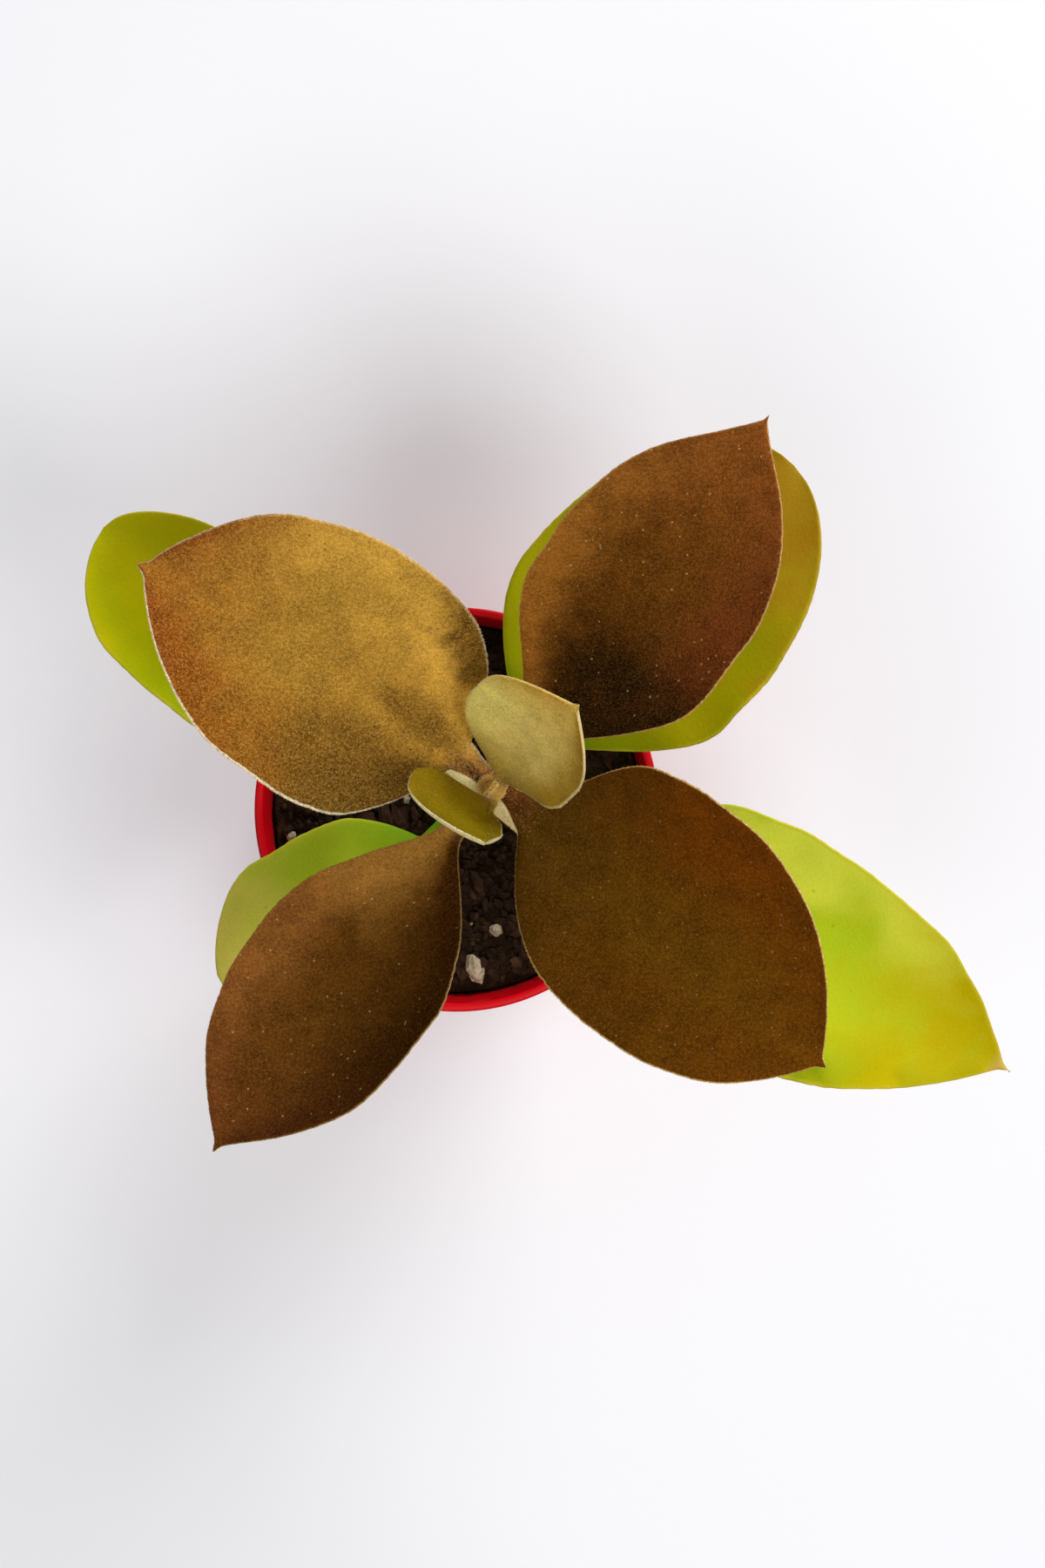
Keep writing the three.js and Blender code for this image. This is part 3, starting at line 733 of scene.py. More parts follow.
class Paint:
    """One material while it is made. node() adds any node: its settings first, then its inputs."""

    def __init__(self, name):
        self.material = bpy.data.materials.new(name)
        self.material.use_nodes = True
        self.tree = self.material.node_tree
        self.tree.nodes.clear()
        self.places = self.node("TexCoord", output="Object")

    def node(self, kind, settings=None, inputs=None, output=0):
        made = self.tree.nodes.new("ShaderNode" + kind)
        for key, value in (settings or {}).items():
            setattr(made, key, value)
        for key, value in (inputs or {}).items():
            socket = made.inputs[key]
            if isinstance(value, Value):
                self.tree.links.new(value.socket, socket)
            else:
                socket.default_value = value
        return Value(self, made.outputs[output]) if made.outputs else None

    def attributes(self, *names):
        """Numbers that the piece has at each of its points."""
        return [self.node("Attribute", dict(attribute_name=name), output="Fac") for name in names]

    def noise(self, size, detail=2.0, rough=0.5, stretch=None):
        """Cloudy noise from 0 to 1 whose lumps are size metres across. The places can be stretched
        first, which draws the lumps out along the axes that are stretched less."""
        places = self.places
        if stretch:
            places = self.node("VectorMath", dict(operation="MULTIPLY"), {0: places, 1: stretch})
        inputs = {"Vector": places, "Scale": 1 / size, "Detail": detail, "Roughness": rough}
        return self.node("TexNoise", None, inputs)

    def cells(self, size):
        """Random cells size metres apart: the distance to each one's middle, and its random number."""
        distance = self.node("TexVoronoi", None, {"Vector": self.places, "Scale": 1 / size}, "Distance")
        colour = Value(self, distance.socket.node.outputs["Color"])
        return distance, self.node("SeparateColor", None, {0: colour}, "Red")

    def mix(self, share, first, second):
        """A colour between two colours."""
        settings = dict(data_type="RGBA", clamp_factor=True)
        return self.node("Mix", settings, {0: share, 6: first, 7: second}, 2)

    def shade(self, colour, strength):
        """A colour made lighter or darker by a value."""
        start = colour if isinstance(colour, Value) else colour[:3]
        return self.node("VectorMath", dict(operation="SCALE"), {0: start, "Scale": strength})

    def finish(self, colour, roughness, gloss, relief=None, depth=0.0):
        """The surface itself. gloss is the same all over, and is set on the shader's own socket. relief is
        fine relief, a value about 0 to 1, and depth is what 1 stands for in it, in metres."""
        inputs = {"Base Color": colour, "Roughness": roughness, "Specular IOR Level": gloss}
        if relief is not None:
            bump = {"Height": relief, "Distance": depth, "Strength": 1.0}
            inputs["Normal"] = self.node("Bump", None, bump, "Normal")
        surface = self.node("BsdfPrincipled", None, inputs)
        self.node("OutputMaterial", None, {"Surface": surface})
        return self.material


def inked(tints):
    """A leaf's tints with its colours as a shader takes them."""
    colours = ("middle", "left", "right", "tip", "foot", "stalk", "edge", "under")
    return {key: srgb(*value) if key in colours else value for key, value in tints.items()}


def halves(paint, across, unrest, tints):
    """The colour from the midrib out to the left and to the right half, with a restless border."""
    near = unrest * abs(across).step(0.0, 0.5)
    left = (across.step(0.1, 0.95) + near).held()
    right = (across.step(-0.1, -0.95) + near).held()
    colour = paint.mix(left, tints["middle"], tints["left"])
    return paint.mix(right * across.step(0.1, -0.1), colour, tints["right"])


def dusk(across, left, right):
    """Painted shade: how much is taken off a leaf's brightness towards its left and its right margin,
    where the halves curl away from the light.
    """
    return across.step(0.0, 1.0) * -left + across.step(0.0, -1.0) * -right


def foot_share(leaf, along, across, clouds, smudges):
    """How strongly a felted leaf shows its foot's colour: near the stalk, and in its painted shadows."""
    tints = leaf.tints
    pure, end = tints["reach"]
    share = along.step(leaf.stalk_end + end, leaf.stalk_end + pure) + (clouds - 0.5) * 0.3
    share = share.held() * along.step(0.7, 0.4)
    if tints["foot_side"]:
        start, gone = tints["foot_side"]
        share = share * (across + (clouds - 0.5) * 0.3).step(gone, start)
    # Each patch is a painted shadow cast by a leaf above, in the foot's colour.
    for place_along, place_across, length, width, strength in tints["stains"]:
        far_along = (along - place_along) * (1 / length)
        far_across = (across - place_across) * (1 / width)
        away = far_along * far_along + far_across * far_across + (smudges - 0.5) * 0.25
        share = share + away.step(1.0, 0.0) * (1 - share) * strength
    return share


def freckled(paint, colour, tints):
    """The colour with a dark or a pale freckle in some of a felt's random cells."""
    distance, draw = paint.cells(1.1 * MM)
    freckle = distance.step(0.22, 0.07)
    colour = paint.mix(freckle * draw.step(0.7, 0.85) * tints["specks"], colour, DARK_FRECKLE)
    if tints["dots"]:
        colour = paint.mix(freckle * draw.step(0.22, 0.12) * tints["dots"], colour, PALE_FRECKLE)
    return colour


def rim_strength(tints, along, across):
    """How strong a felted leaf's pale margin is on each half, from where along the leaf it starts."""
    left, right, first = tints["rim"]
    pale = right + across.step(-0.1, 0.1) * (left - right)
    if first:
        pale = pale * along.step(first - 0.08, first + 0.08)
    return pale


def below_share(tints, along, across, under, pale):
    """How far a place has the pale felt of the underside: below the margin, from higher up where the
    margin is pale, and where the underside comes up beside the stalk."""
    below = under.step(0.3, 0.62) * pale + under.step(0.75, 0.95) * (1 - pale)
    if tints["bare"]:
        side, start, last = tints["bare"]
        edge = along.step(last * 0.3, last) * (1.05 - start)
        below = (below + (across * side - edge).step(start, start + 0.14)).held()
    return below


def felt_paint(name, leaf, settings):
    """Felt on a copper leaf: the leaf's colours, with painted light and shade in them, from its middle to
    its margins, tip and foot, with painted shadows near the foot and painted shade at the margins and in
    the groove beside the stalk, broken up by the nap of the hairs, with pale and dark specks. Its underside
    and margin are paler."""
    paint = Paint(name)
    tints, stalk_end = leaf.tints, leaf.stalk_end
    along, across, under, rim = paint.attributes("along", "across", "under", "rim")
    clouds = paint.noise(9 * MM, 2).step(0.34, 0.66)
    drift = paint.noise(24 * MM, 0).step(0.32, 0.68)
    smudges = paint.noise(3.6 * MM, 1).step(0.3, 0.7)
    nap = paint.noise(0.46 * MM, 2, 0.8).step(0.27, 0.73)
    fine = paint.noise(0.2 * MM, 1).step(0.3, 0.7)
    colour = halves(paint, across, (clouds - 0.5) * 0.3 + (drift - 0.5) * 0.4, tints)
    near_tip = along.step(0.6, 1.0) * (0.6 + across * across * 0.6)
    colour = paint.mix(near_tip.held(), colour, tints["tip"])
    colour = paint.mix(foot_share(leaf, along, across, clouds, smudges), colour, tints["foot"])
    colour = paint.mix(along.step(stalk_end + 0.05, stalk_end * 0.5) * 0.9, colour, tints["stalk"])
    # Painted shade in the groove along the midrib where the stalk meets the blade.
    if tints["channel"]:
        channel = abs(across).step(0.5, 0.1) * along.step(stalk_end * 1.3, stalk_end * 0.6)
        colour = paint.mix(channel * tints["channel"], colour, GROOVE_SHADE_BROWN)
    strength = tints["grain"]
    nap_shade = 1 - 0.34 * strength + nap * (0.42 * strength) + fine * (0.24 * strength)
    nap_shade = nap_shade + (smudges - 0.5) * tints["mottle"]
    # Painted shade darkens the margins where the halves curl away from the light.
    colour = paint.shade(colour, nap_shade * (1 + dusk(across, *tints["dusk"])))
    colour = paint.mix(nap * fine * tints["frost"], colour, tuple(settings.hair_tint))
    colour = freckled(paint, colour, tints)
    pale = rim_strength(tints, along, across)
    lace = rim.step(leaf.lace * 1.9, leaf.lace * 0.5) * (0.35 + nap * 0.65) * abs(across).step(0.5, 0.8)
    colour = paint.mix(lace * pale, colour, tints["edge"])
    cream = paint.shade(tints["under"], 0.78 + nap * 0.2 + fine * 0.16)
    colour = paint.mix(below_share(tints, along, across, under, pale), colour, cream)
    return paint.finish(colour, 0.86 + fine * 0.12, 0.01, fine, 0.06 * MM)


def hair_paint(name, tints):
    """The felt's hairs: those along the margin in its own pale colour, and nearer the leaf's colour on
    its face."""
    paint = Paint(name)
    own = paint.shade(tints["middle"], 1.3)
    tone = paint.noise(1.2 * MM, 2).step(0.3, 0.7)
    (pale,) = paint.attributes("pale")
    colour = paint.mix(pale, own, tints["edge"])
    colour = paint.shade(colour, 0.7 + tone * 0.35)
    return paint.finish(colour, 0.85 + tone * 0.1, 0.01)


def green_paint(name, leaf):
    """Waxy skin of a green leaf: its colours in soft patches, partly painted light where they make up for
    shade cast by the leaves above, with thin yellow margins, a tan point and a few faint specks. Its
    underside is paler."""
    paint = Paint(name)
    tints, stalk_end = leaf.tints, leaf.stalk_end
    along, across, under, rim = paint.attributes("along", "across", "under", "rim")
    clouds = paint.noise(15 * MM, 2, 0.5).step(0.36, 0.64)
    patches = paint.noise(8 * MM, 2, 0.5).step(0.3, 0.7)
    pores = paint.noise(0.5 * MM, 2).step(0.3, 0.7)
    colour = halves(paint, across, (clouds - 0.5) * 0.8 + (patches - 0.5) * 0.25, tints)
    near_tip = along.step(0.56, 0.96) + (patches - 0.5) * along.step(0.4, 0.8) * 0.35
    colour = paint.mix(near_tip.held(), colour, tints["tip"])
    if tints["brown"]:
        blotch = patches.step(0.1, 1.0) * along.step(0.35, 0.75) * tints["brown"]
        colour = paint.mix(blotch, colour, BLOTCH_BROWN)
    if tints["tan"]:
        colour = paint.mix(along.step(0.965, 1.0), colour, DRY_TAN)
    colour = paint.mix(along.step(stalk_end + 0.3, stalk_end * 0.8), colour, tints["foot"])
    margin = rim.step(0.9, 0.1) * along.step(stalk_end, stalk_end + 0.2)
    colour = paint.mix(margin * (0.25 + patches * 0.35), colour, MARGIN_YELLOW)
    distance, draw = paint.cells(3.4 * MM)
    specks = distance.step(0.13, 0.04) * draw.step(0.78, 0.9)
    colour = paint.mix(specks * 0.25, colour, SKIN_SPECK)
    colour = paint.shade(colour, 0.93 + patches * 0.1 + pores * 0.04)
    colour = paint.mix(under.step(0.35, 0.75) * 0.75, colour, GREEN_UNDERSIDE)
    return paint.finish(colour, 0.5 + patches * 0.12, 0.04, pores, 0.03 * MM)


def stem_paint():
    """The stem's skin: corky tan low down, felted gold-brown near the top, with fine lengthwise lines
    and a dark ring at each old leaf joint."""
    paint = Paint("stem_skin")
    height, joint = paint.attributes("height", "joint")
    lines = paint.noise(0.9 * MM, 3, 0.6, (1, 1, 0.18))
    grain = paint.noise(0.35 * MM, 2)
    colour = paint.mix(height.step(0.35, 0.85), STEM_CORK, STEM_BROWN)
    colour = paint.mix(height.step(0.93, 0.98), colour, STEM_GOLD)
    colour = paint.mix(joint * 0.6, colour, SCAR_BROWN)
    colour = paint.shade(colour, 0.5 + lines * 0.6 + grain * 0.4)
    return paint.finish(colour, 0.8 + grain * 0.15, 0.05, lines + grain * 0.5, 0.25 * MM)


def pot_paint(settings):
    """Moulded red plastic, satin, with faint flow marks and a little dust and peat inside the wall."""
    paint = Paint("pot_plastic")
    height, inside = paint.attributes("height", "inside")
    flow = paint.noise(14 * MM, 2)
    fine = paint.noise(0.6 * MM, 2)
    dust = paint.noise(1.6 * MM, 4, 0.7)
    colour = paint.shade(tuple(settings.red), 0.94 + flow * 0.12)
    soiled = inside * height.step(59.5, 55.0) * dust.step(0.45, 0.62)
    colour = paint.mix(soiled * 0.85, colour, SOILED_PLASTIC)
    rough = 0.3 + flow * 0.12 + soiled * 0.3
    return paint.finish(colour, rough, 0.14, fine * 0.5 + flow, 0.05 * MM)


def peat_paint(settings):
    """Dark damp peat, from black to brown."""
    paint = Paint("potting_mix")
    lumps = paint.noise(2.4 * MM, 4, 0.65)
    grain = paint.noise(0.5 * MM, 3, 0.6)
    colour = paint.mix(lumps.step(0.45, 0.75), tuple(settings.peat), DRY_PEAT)
    colour = paint.shade(colour, 0.4 + grain * 1.1)
    return paint.finish(colour, 0.82 + grain * 0.15, 0.12, lumps * 1.4 + grain, 0.5 * MM)


def bark_paint(settings):
    """Bark bits: streaked brown, each of its own tone."""
    paint = Paint("bark")
    streaks = paint.noise(0.7 * MM, 3, 0.6, (1, 0.3, 1))
    _, tone = paint.cells(3.5 * MM)
    colour = paint.mix(tone, tuple(settings.bark), WORN_BARK)
    colour = paint.shade(colour, 0.35 + streaks)
    return paint.finish(colour, 0.75 + streaks * 0.2, 0.12, streaks, 0.3 * MM)


def perlite_paint(settings):
    """Perlite: chalky white grains with pits, some stained by the peat."""
    paint = Paint("perlite")
    pits, _ = paint.cells(0.7 * MM)
    stain = paint.noise(3 * MM, 3)
    colour = paint.mix(stain.step(0.4, 0.75), tuple(settings.perlite), STAINED_PERLITE)
    colour = paint.shade(colour, 0.7 + pits * 0.5)
    return paint.finish(colour, 0.85 + pits * 0.1, 0.5, pits, 0.3 * MM)


def rounded(corners, steps=5):
    """An outline whose corners are rounded. Each corner is (radius, height, rounding) in metres, and
    becomes a parabola between the two points that its rounding sets on its sides."""
    points = []
    places = np.array([[r, z] for r, z, _ in corners])
    for k, (r, z, rounding) in enumerate(corners):
        here = places[k]
        if rounding == 0 or k in (0, len(corners) - 1):
            points.append(here)
            continue
        back, ahead = places[k - 1] - here, places[k + 1] - here
        start = here + back / np.linalg.norm(back) * rounding
        end = here + ahead / np.linalg.norm(ahead) * rounding
        for t in np.linspace(0, 1, steps):
            points.append((1 - t) ** 2 * start + 2 * t * (1 - t) * here + t * t * end)
    return np.array(points)


def inner_radius(height):
    """The radius of the pot's inner wall at a height below its shoulder."""
    return BASE_RADIUS + (SHOULDER_RADIUS - BASE_RADIUS) * height / SHOULDER_HEIGHT - WALL


def cut_holes(piece):
    """Cuts the ring of drain holes through the pot's floor, and removes the cutters, which are turned a
    little so that none of their corners lies on a spoke of the floor."""
    cutters = []
    for k in range(DRAIN_HOLES):
        angle = (k + 0.5) / DRAIN_HOLES * TAU
        middle = (DRAIN_CIRCLE * math.cos(angle), DRAIN_CIRCLE * math.sin(angle), 0)
        bpy.ops.mesh.primitive_cylinder_add(
            vertices=DRAIN_SIDES, radius=DRAIN_RADIUS, depth=4 * FLOOR, location=middle,
            rotation=(0, 0, DRAIN_TURN),
        )
        cutters.append(bpy.context.object)
    for cutter in cutters:
        cut = piece.modifiers.new("drain hole", "BOOLEAN")
        cut.object = cutter
        cut.solver = "EXACT"
    seen = piece.evaluated_get(bpy.context.evaluated_depsgraph_get())
    cut_mesh = bpy.data.meshes.new_from_object(seen)
    piece.modifiers.clear()
    piece.data = cut_mesh
    for cutter in cutters:
        bpy.data.objects.remove(cutter)


class KALANCHOE_OT_pot(bpy.types.Operator):
    """Make the moulded pot with its rolled lip, collar and drain holes"""

    bl_idname = "kalanchoe.pot"
    bl_label = "Pot"

    def execute(self, context):
        settings = context.scene.kalanchoe_pot
        collar_inside = COLLAR_RADIUS - WALL
        lip_inside = RIM_RADIUS - LIP_WIDTH
        outline = rounded(
            [
                (0, 0, 0),
                (BASE_RADIUS - 0.2 * MM, 0, 0.8 * MM),
                (SHOULDER_RADIUS, SHOULDER_HEIGHT, 0.3 * MM),
                (COLLAR_RADIUS, SHOULDER_HEIGHT + 1 * MM, 0.5 * MM),
                (RIM_RADIUS - 0.9 * MM, POT_HEIGHT - 2.2 * MM, 0.3 * MM),
                (RIM_RADIUS, POT_HEIGHT - 1.8 * MM, 0.35 * MM),
                (RIM_RADIUS, POT_HEIGHT, 0.55 * MM),
                (lip_inside, POT_HEIGHT, 0.55 * MM),
                (collar_inside, SHOULDER_HEIGHT + 3.6 * MM, 1 * MM),
                (collar_inside, STEP_HIGH, 0.4 * MM),
                (inner_radius(SHOULDER_HEIGHT), STEP_LOW, 0.4 * MM),
                (inner_radius(FLOOR), FLOOR, 0.6 * MM),
                (0, FLOOR, 0),
            ]
        )
        outline[0, 0] = outline[-1, 0] = POLE_RING
        rings = round_points(outline[:, :1], turn_steps(settings.turns), outline[:, 1:]) / MM
        deepest = np.linspace(0, 1, len(outline))
        inside = np.broadcast_to((deepest > 0.55)[:, None], rings.shape[:2]).astype(float)
        values = dict(height=rings[..., 2], inside=inside)
        pot = skinned_piece("plastic_pot", rings[:, ::-1], values, pot_paint(settings))
        cut_holes(pot)
        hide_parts("pot")
        return {"FINISHED"}


soil_lumps = ripples(SOIL_SEED, 16, 6, 22)
soil_crumbs = ripples(SOIL_SEED + 1, 24, 1.2, 4.5)


def soil_height(x, y):
    """Height of the soil in millimetres at x, y: a shallow mound with lumps and crumbs of two sizes."""
    share = np.hypot(x, y) / (RIM_RADIUS / MM)
    return SOIL_TOP / MM + 0.9 * (1 - share**2) + 0.45 * soil_lumps(x, y) + 0.22 * soil_crumbs(x, y) - 0.2


def scattered(draw, count, reach):
    """Random places on the soil, even by area, outside the stem and inside the wall."""
    radius = np.sqrt(draw.uniform((STEM_CLEARANCE / reach) ** 2, 1, count)) * reach
    angle = draw.uniform(0, TAU, count)
    return radius * np.cos(angle), radius * np.sin(angle)


def turns_about(axis, angles):
    """Rotation matrices about one axis, 0 to 2 for X to Z."""
    first, second = (axis + 1) % 3, (axis + 2) % 3
    turns = np.tile(np.eye(3), (len(angles), 1, 1))
    turns[:, first, first] = turns[:, second, second] = np.cos(angles)
    turns[:, second, first] = np.sin(angles)
    turns[:, first, second] = -np.sin(angles)
    return turns


def random_turns(draw, count, tilt):
    """Rotation matrices: any turn about Z after a small random tilt about X and Y."""
    tilt_x = turns_about(0, draw.normal(0, tilt, count))
    tilt_y = turns_about(1, draw.normal(0, tilt, count))
    return turns_about(2, draw.uniform(0, TAU, count)) @ tilt_y @ tilt_x


def ball(level):
    """The points and faces of a small ball made of triangles, from Blender's icosphere."""
    bpy.ops.mesh.primitive_ico_sphere_add(subdivisions=level, radius=1)
    made = bpy.context.object
    points = np.empty(3 * len(made.data.vertices), np.float32)
    made.data.vertices.foreach_get("co", points)
    faces = np.empty(len(made.data.loops), np.int32)
    made.data.loops.foreach_get("vertex_index", faces)
    bpy.data.objects.remove(made)
    return points.reshape(-1, 3).astype(float), faces.reshape(-1, 3)


def make_bits(name, draw, count, wall, paint, extra=()):
    """Bits on the soil, all in one piece: balls pushed in and out by random bumps of their own,
    stretched to a shape, turned, and sunk partly into the soil where they lie. wall is the radius of
    the pot's wall, and extra holds places and sizes of more of them."""
    level, sizes, shape, rough, sunk, tilt, inset = BITS[name]
    points, faces = ball(level)
    x, y = scattered(draw, count, wall - inset)
    size = draw.uniform(*sizes, count) * draw.uniform(0.7, 1.3, count)
    x, y, size = (np.concatenate(pair) for pair in zip((x, y, size), np.reshape(extra, (-1, 3)).T))
    count += len(extra)
    bumps = 1 + rough * draw.normal(0, 1, (count, len(points), 1)).clip(-1.6, 1.6)
    stretch = np.array(shape) * draw.uniform(0.75, 1.3, (count, 3))
    shaped = points * bumps * stretch[:, None]
    turned = np.einsum("kij,kpj->kpi", random_turns(draw, count, tilt), shaped)
    low = -turned[..., 2].min(1) * size
    middle = np.stack([x, y, soil_height(x, y) + low * (1 - sunk)], -1)
    placed = turned * size[:, None, None] + middle[:, None]
    every = (faces + len(points) * np.arange(count)[:, None, None]).reshape(-1, 3)
    return piece_from(name, placed, every.tolist(), paint, smooth_faces=False)


class KALANCHOE_OT_soil(bpy.types.Operator):
    """Make the soil and the crumbs, bark bits and perlite grains on it"""

    bl_idname = "kalanchoe.soil"
    bl_label = "Soil"

    def execute(self, context):
        settings = context.scene.kalanchoe_soil
        turns, rings_across = 220, 80
        collar = (COLLAR_RADIUS - WALL - GAP) / MM
        wall_radii = (np.array([inner_radius(FLOOR), inner_radius(SHOULDER_HEIGHT)]) - GAP) / MM
        wall_heights = (np.array([FLOOR, STEP_LOW, STEP_HIGH]) + GAP) / MM
        radius = np.concatenate([wall_radii, [collar], collar * np.linspace(1, 0.01, rings_across)])
        rings = round_points(radius[:, None], turn_steps(turns), 0)
        rings[..., 2] = soil_height(rings[..., 0], rings[..., 1])
        rings[: len(wall_heights), :, 2] = wall_heights[:, None]
        soil = skinned_piece("soil_surface", rings[:, ::-1], {}, peat_paint(settings))
        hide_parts("soil")
        draw = np.random.default_rng(BITS_SEED)
        peat = soil.data.materials[0]
        make_bits("peat_crumbs", draw, settings.peat_crumbs, collar, peat)
        make_bits("bark_bits", draw, settings.bark_bits, collar, bark_paint(settings))
        perlite = perlite_paint(settings)
        make_bits("perlite_grains", draw, settings.perlite_grains, collar, perlite, PERLITE_LUMPS)
        return {"FINISHED"}


class KALANCHOE_OT_stem(bpy.types.Operator):
    """Make the stem with its swollen joints"""

    bl_idname = "kalanchoe.stem"
    bl_label = "Stem"

    def execute(self, context):
        around, steps = 64, 420
        z = np.linspace(STEM_HIDDEN_Z, STEM_TOP_Z + STEM_DOME, steps)[:, None]
        z, angle = np.broadcast_arrays(z, turn_steps(around))
        joint = sum(bell((z - place + 1.3) / 0.7) for place in JOINT_Z)
        flutes = ripples(STEM_SEED, 8, 1.2, 3.5)(angle * 3, z * 0.25)
        rough = ripples(STEM_SEED + 1, 12, 1.0, 4.0)(angle * 3, z)
        dome = np.sqrt(np.clip((STEM_TOP_Z + STEM_DOME + 0.01 - z) / (2 * STEM_DOME), 0, 1))
        radius = (stem_radius(z) - 0.22 * joint + 0.05 * flutes + 0.05 * rough) * dome
        rings = stem_axis(z) + round_points(radius, angle, 0)
        values = dict(height=stem_share(z), joint=np.clip(joint, 0, 1))
        stem = skinned_piece("stem_skin", rings[:, ::-1], values, stem_paint())
        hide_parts("stem")
        hair = context.scene.kalanchoe_leaves.hair / MM
        make_hairs("stem_hairs", [stem_hairs(hair)], inked(BUD_TINTS))
        return {"FINISHED"}


def make_hairs(name, groups, tints):
    """One piece of hairs from groups of their feet, tips and paleness."""
    feet, tips, pale = (np.concatenate(parts) for parts in zip(*groups))
    points, faces = darts(feet, tips, HAIR_WIDTH)
    values = dict(pale=np.repeat(pale, 4))
    return piece_from(name, points, faces, hair_paint(name, tints), values, smooth_faces=False)


def stem_hairs(hair):
    """Hairs all round the stem, more of them the nearer its tip, and over its top."""
    draw = np.random.default_rng(STEM_SEED + 2)
    z = STEM_TOP_Z + 0.3 - STEM_FUZZ_DEPTH * draw.uniform(0, 1, STEM_HAIRS) ** 2.2
    out = round_points(1, draw.uniform(0, TAU, STEM_HAIRS), 0)
    inward = np.where(z > STEM_TOP_Z - 0.4, draw.uniform(0.3, 1, STEM_HAIRS), 1)
    feet = stem_axis(z) + out * (stem_radius(z) * inward - 0.1)[:, None]
    way = unit(out * inward[:, None] + np.array([0, 0, 0.3]) + draw.normal(0, 0.4, (STEM_HAIRS, 3)))
    way[:, 2] += 1 - inward
    reach = (hair * draw.uniform(0.8, 2.0, STEM_HAIRS))[:, None]
    return feet, feet + unit(way) * (reach + 0.1), draw.uniform(0.2, 1, STEM_HAIRS)


def leaf_of(name, settings):
    """The named leaf's form."""
    row = LEAVES[name]
    foot = stem_axis(PAIR_Z[row["pair"] - 1])
    seed = LEAF_SEED + 10 * list(LEAVES).index(name)
    common = FELT_TINTS if name in FELTED else GREEN_TINTS
    row = dict(row, tints=inked({**common, **row["tints"]}))
    return Leaf(row, foot, settings.margin_thick, seed)


class KALANCHOE_OT_felted_leaves(bpy.types.Operator):
    """Make the six felted leaves and their hairs"""

    bl_idname = "kalanchoe.felted_leaves"
    bl_label = "Felted leaves"

    def execute(self, context):
        settings = context.scene.kalanchoe_leaves
        for name in FELTED:
            leaf = leaf_of(name, settings)
            rings, values = leaf.skin(settings.felt_steps, settings.around)
            paint = felt_paint(name + "_felt", leaf, settings)
            blade = skinned_piece(name + "_blade", rings, values, paint)
            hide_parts(name)
            hairs = felt_hairs(leaf, settings.hair / MM, HAIR_SEED + FELTED.index(name))
            make_hairs(name + "_hairs", [hairs], leaf.tints)
        return {"FINISHED"}


class KALANCHOE_OT_green_leaves(bpy.types.Operator):
    """Make the four smooth green leaves"""

    bl_idname = "kalanchoe.green_leaves"
    bl_label = "Green leaves"

    def execute(self, context):
        settings = context.scene.kalanchoe_leaves
        for name in GREENS:
            leaf = leaf_of(name, settings)
            rings, values = leaf.skin(settings.green_steps, settings.around)
            paint = green_paint(name + "_skin", leaf)
            blade = skinned_piece(name + "_blade", rings, values, paint)
            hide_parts(name)
        return {"FINISHED"}


def bud_core(middle, low, paint):
    """The bud's core, a ball drawn out upwards, which the leaflets close over."""
    around, steps = 32, 24
    rise = np.linspace(-1, 1, steps)[:, None] * 0.995
    radius = BUD_CORE_RADIUS * np.sqrt(1 - rise**2)
    height = low + BUD_CORE_RADIUS * BUD_CORE_STRETCH * (1 + rise)
    rings = round_points(radius, turn_steps(around), height) + [*middle, 0]
    share = np.broadcast_to(rise * 0.5 + 0.5, rings.shape[:2])
    values = dict(along=share, across=0 * share, under=0 * share, rim=1 + 0 * share)
    return skinned_piece("bud_core", rings[:, ::-1], values, paint)


class KALANCHOE_OT_bud(bpy.types.Operator):
    """Make the folded leaflets at the stem's tip"""

    bl_idname = "kalanchoe.bud"
    bl_label = "Bud"

    def execute(self, context):
        settings = context.scene.kalanchoe_leaves
        foot = stem_axis(STEM_TOP_Z) + np.array([0, 0, GAP / MM + BUD_LIFT])
        tints = inked(BUD_TINTS)
        margin = settings.margin_thick * 0.5
        leaves = [Leaf(dict(BUD_LEAFLET, az=az, tints=tints), foot, margin, BUD_SEED + az) for az in BUD_AZ]
        paint = felt_paint("bud_felt", leaves[0], settings)
        skins = [with_poles(*leaf.skin(BUD_STEPS, BUD_AROUND)) for leaf in leaves]
        points = np.stack([own for own, _ in skins])
        values = {key: np.concatenate([own[key] for _, own in skins]) for key in skins[0][1]}
        starts = range(0, points.size // 3, points.shape[1])
        faces = skin_faces(BUD_STEPS, BUD_AROUND)
        faces = [[start + corner for corner in face] for start in starts for face in faces]
        bud = piece_from("bud_leaflets", points, faces, paint, values)
        core = bud_core(foot[:2], STEM_TOP_Z + GAP / MM, paint)
        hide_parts("terminal_bud")
        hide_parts("terminal_bud")
        hair = BUD_HAIR * settings.hair / MM
        hairs = [felt_hairs(leaf, hair, BUD_HAIR_SEED + k) for k, leaf in enumerate(leaves)]
        make_hairs("bud_hairs", hairs, tints)
        return {"FINISHED"}


def area_light(name, azimuth, elevation, size, tint, power):
    """A soft round light that faces the plant from an azimuth and an elevation in degrees."""
    light = bpy.data.lights.new(name, "AREA")
    light.shape = "DISK"
    light.size = size
    light.energy = power
    light.color = tint
    holder = linked(name, light)
    turn, rise = math.radians(azimuth), math.radians(elevation)
    holder.location = round_points(math.cos(rise), turn, math.sin(rise)) * LIGHT_DISTANCE
    holder.rotation_euler = (math.pi / 2 - rise, 0, turn + math.pi / 2)
    holder.visible_camera = False


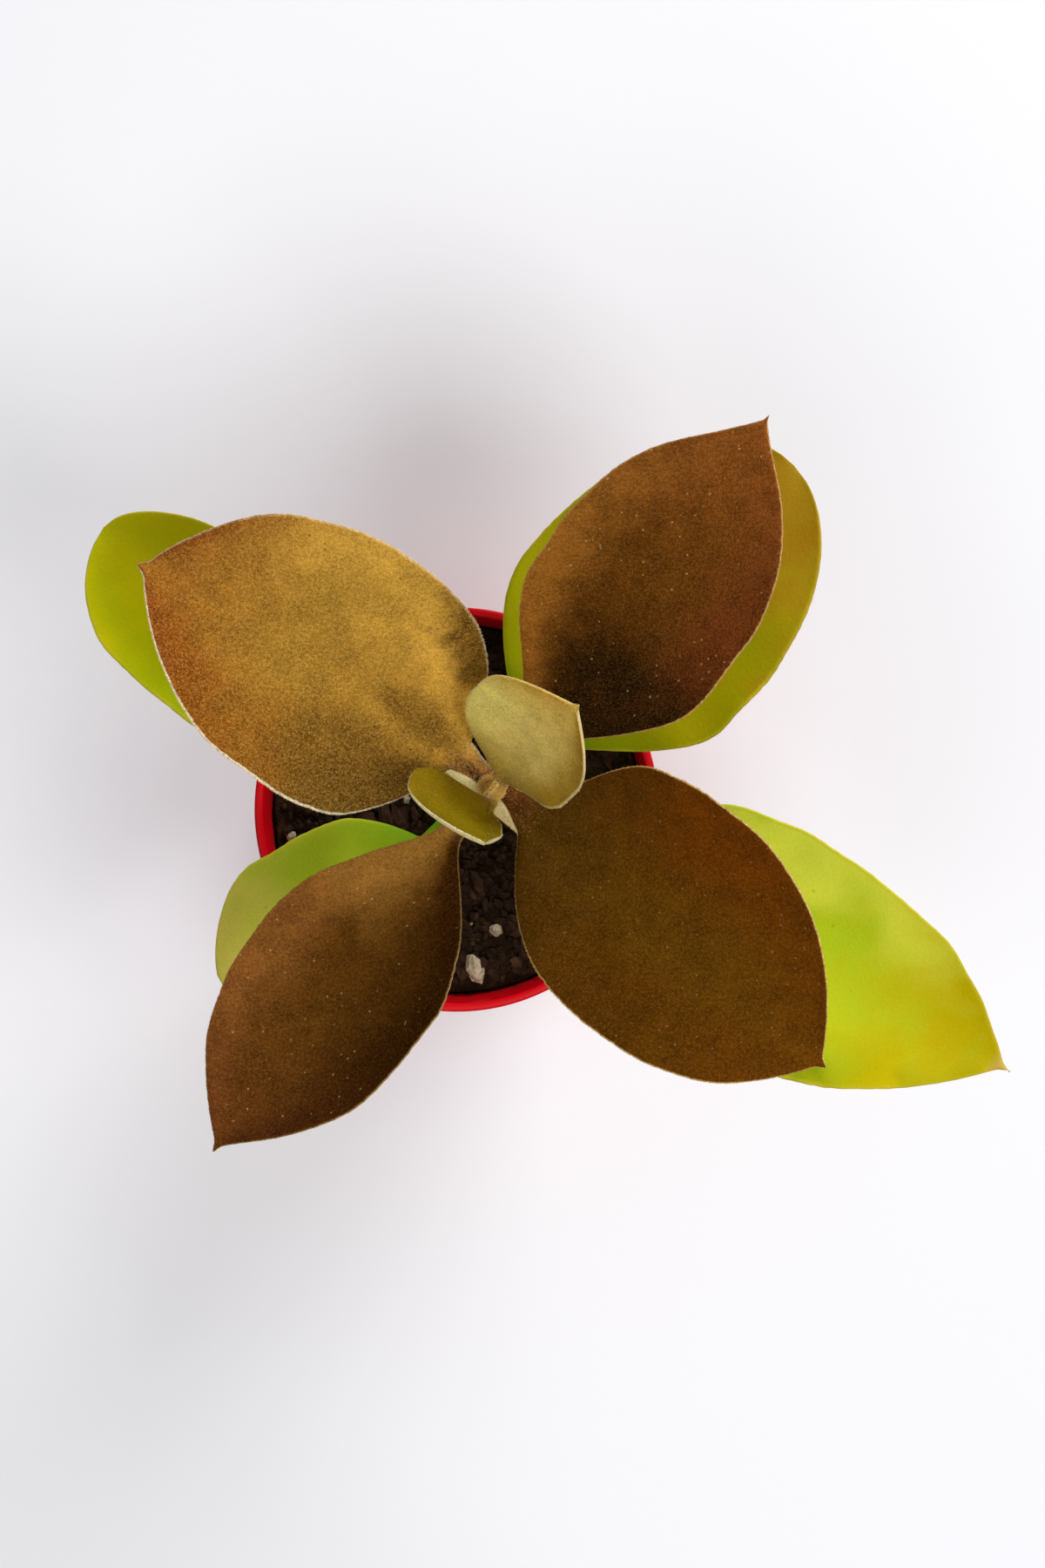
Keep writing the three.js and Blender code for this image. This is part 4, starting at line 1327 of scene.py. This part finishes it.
class KALANCHOE_OT_stage(bpy.types.Operator):
    """Make the pale floor, the soft lights and the camera"""

    bl_idname = "kalanchoe.stage"
    bl_label = "Stage"

    def execute(self, context):
        settings = context.scene.kalanchoe_stage
        scene = context.scene
        paint = Paint("pale_floor")
        tone = paint.noise(0.4, 0)
        colour = paint.shade(tuple(settings.floor), 0.98 + tone * 0.04)
        floor_paint = paint.finish(colour, 0.7 + tone * 0.1, 0.0)
        bpy.ops.mesh.primitive_plane_add(size=FLOOR_SIZE)
        floor = context.object
        floor.name = "floor"
        floor.data.materials.append(floor_paint)
        for name, light in LIGHTS.items():
            area_light(name, *light, getattr(settings, name))
        world = bpy.data.worlds.new("soft_room")
        world.use_nodes = True
        room = world.node_tree.nodes["Background"]
        room.inputs["Color"].default_value = ROOM_TINT
        room.inputs["Strength"].default_value = settings.fill
        scene.world = world
        scene.view_settings.view_transform = "Standard"
        camera = linked("camera", bpy.data.cameras.new("camera"))
        camera.location = settings.camera
        camera.data.sensor_fit = "VERTICAL"
        camera.data.sensor_height = 36
        camera.data.lens = settings.lens
        camera.data.clip_start = 0.01
        scene.camera = camera
        return {"FINISHED"}


class KALANCHOE_PT_panel(bpy.types.Panel):
    """The pieces of the potted plant, in the order they are made"""

    bl_idname = "KALANCHOE_PT_panel"
    bl_label = "Potted kalanchoe"
    bl_space_type = "VIEW_3D"
    bl_region_type = "UI"
    bl_category = "Kalanchoe"

    def draw(self, context):
        for step in STEPS:
            self.layout.operator(step.bl_idname)
        for name in GROUPS:
            group = getattr(context.scene, name)
            for key in group.bl_rna.properties.keys():
                if key not in ("rna_type", "name"):
                    self.layout.prop(group, key)


GROUPS = {
    "kalanchoe_pot": PotSettings,
    "kalanchoe_leaves": LeafSettings,
    "kalanchoe_soil": SoilSettings,
    "kalanchoe_stage": StageSettings,
}
STEPS = (
    KALANCHOE_OT_pot,
    KALANCHOE_OT_soil,
    KALANCHOE_OT_stem,
    KALANCHOE_OT_green_leaves,
    KALANCHOE_OT_felted_leaves,
    KALANCHOE_OT_bud,
    KALANCHOE_OT_stage,
)


def register():
    for kind in (*GROUPS.values(), *STEPS, KALANCHOE_PT_panel):
        bpy.utils.register_class(kind)
    for name, group in GROUPS.items():
        setattr(bpy.types.Scene, name, PointerProperty(type=group))


def unregister():
    for name in GROUPS:
        delattr(bpy.types.Scene, name)
    for kind in reversed((*GROUPS.values(), *STEPS, KALANCHOE_PT_panel)):
        bpy.utils.unregister_class(kind)


def main():
    register()
    for step in STEPS:
        group, name = step.bl_idname.split(".")
        getattr(getattr(bpy.ops, group), name)()


if __name__ == "__main__":
    main()
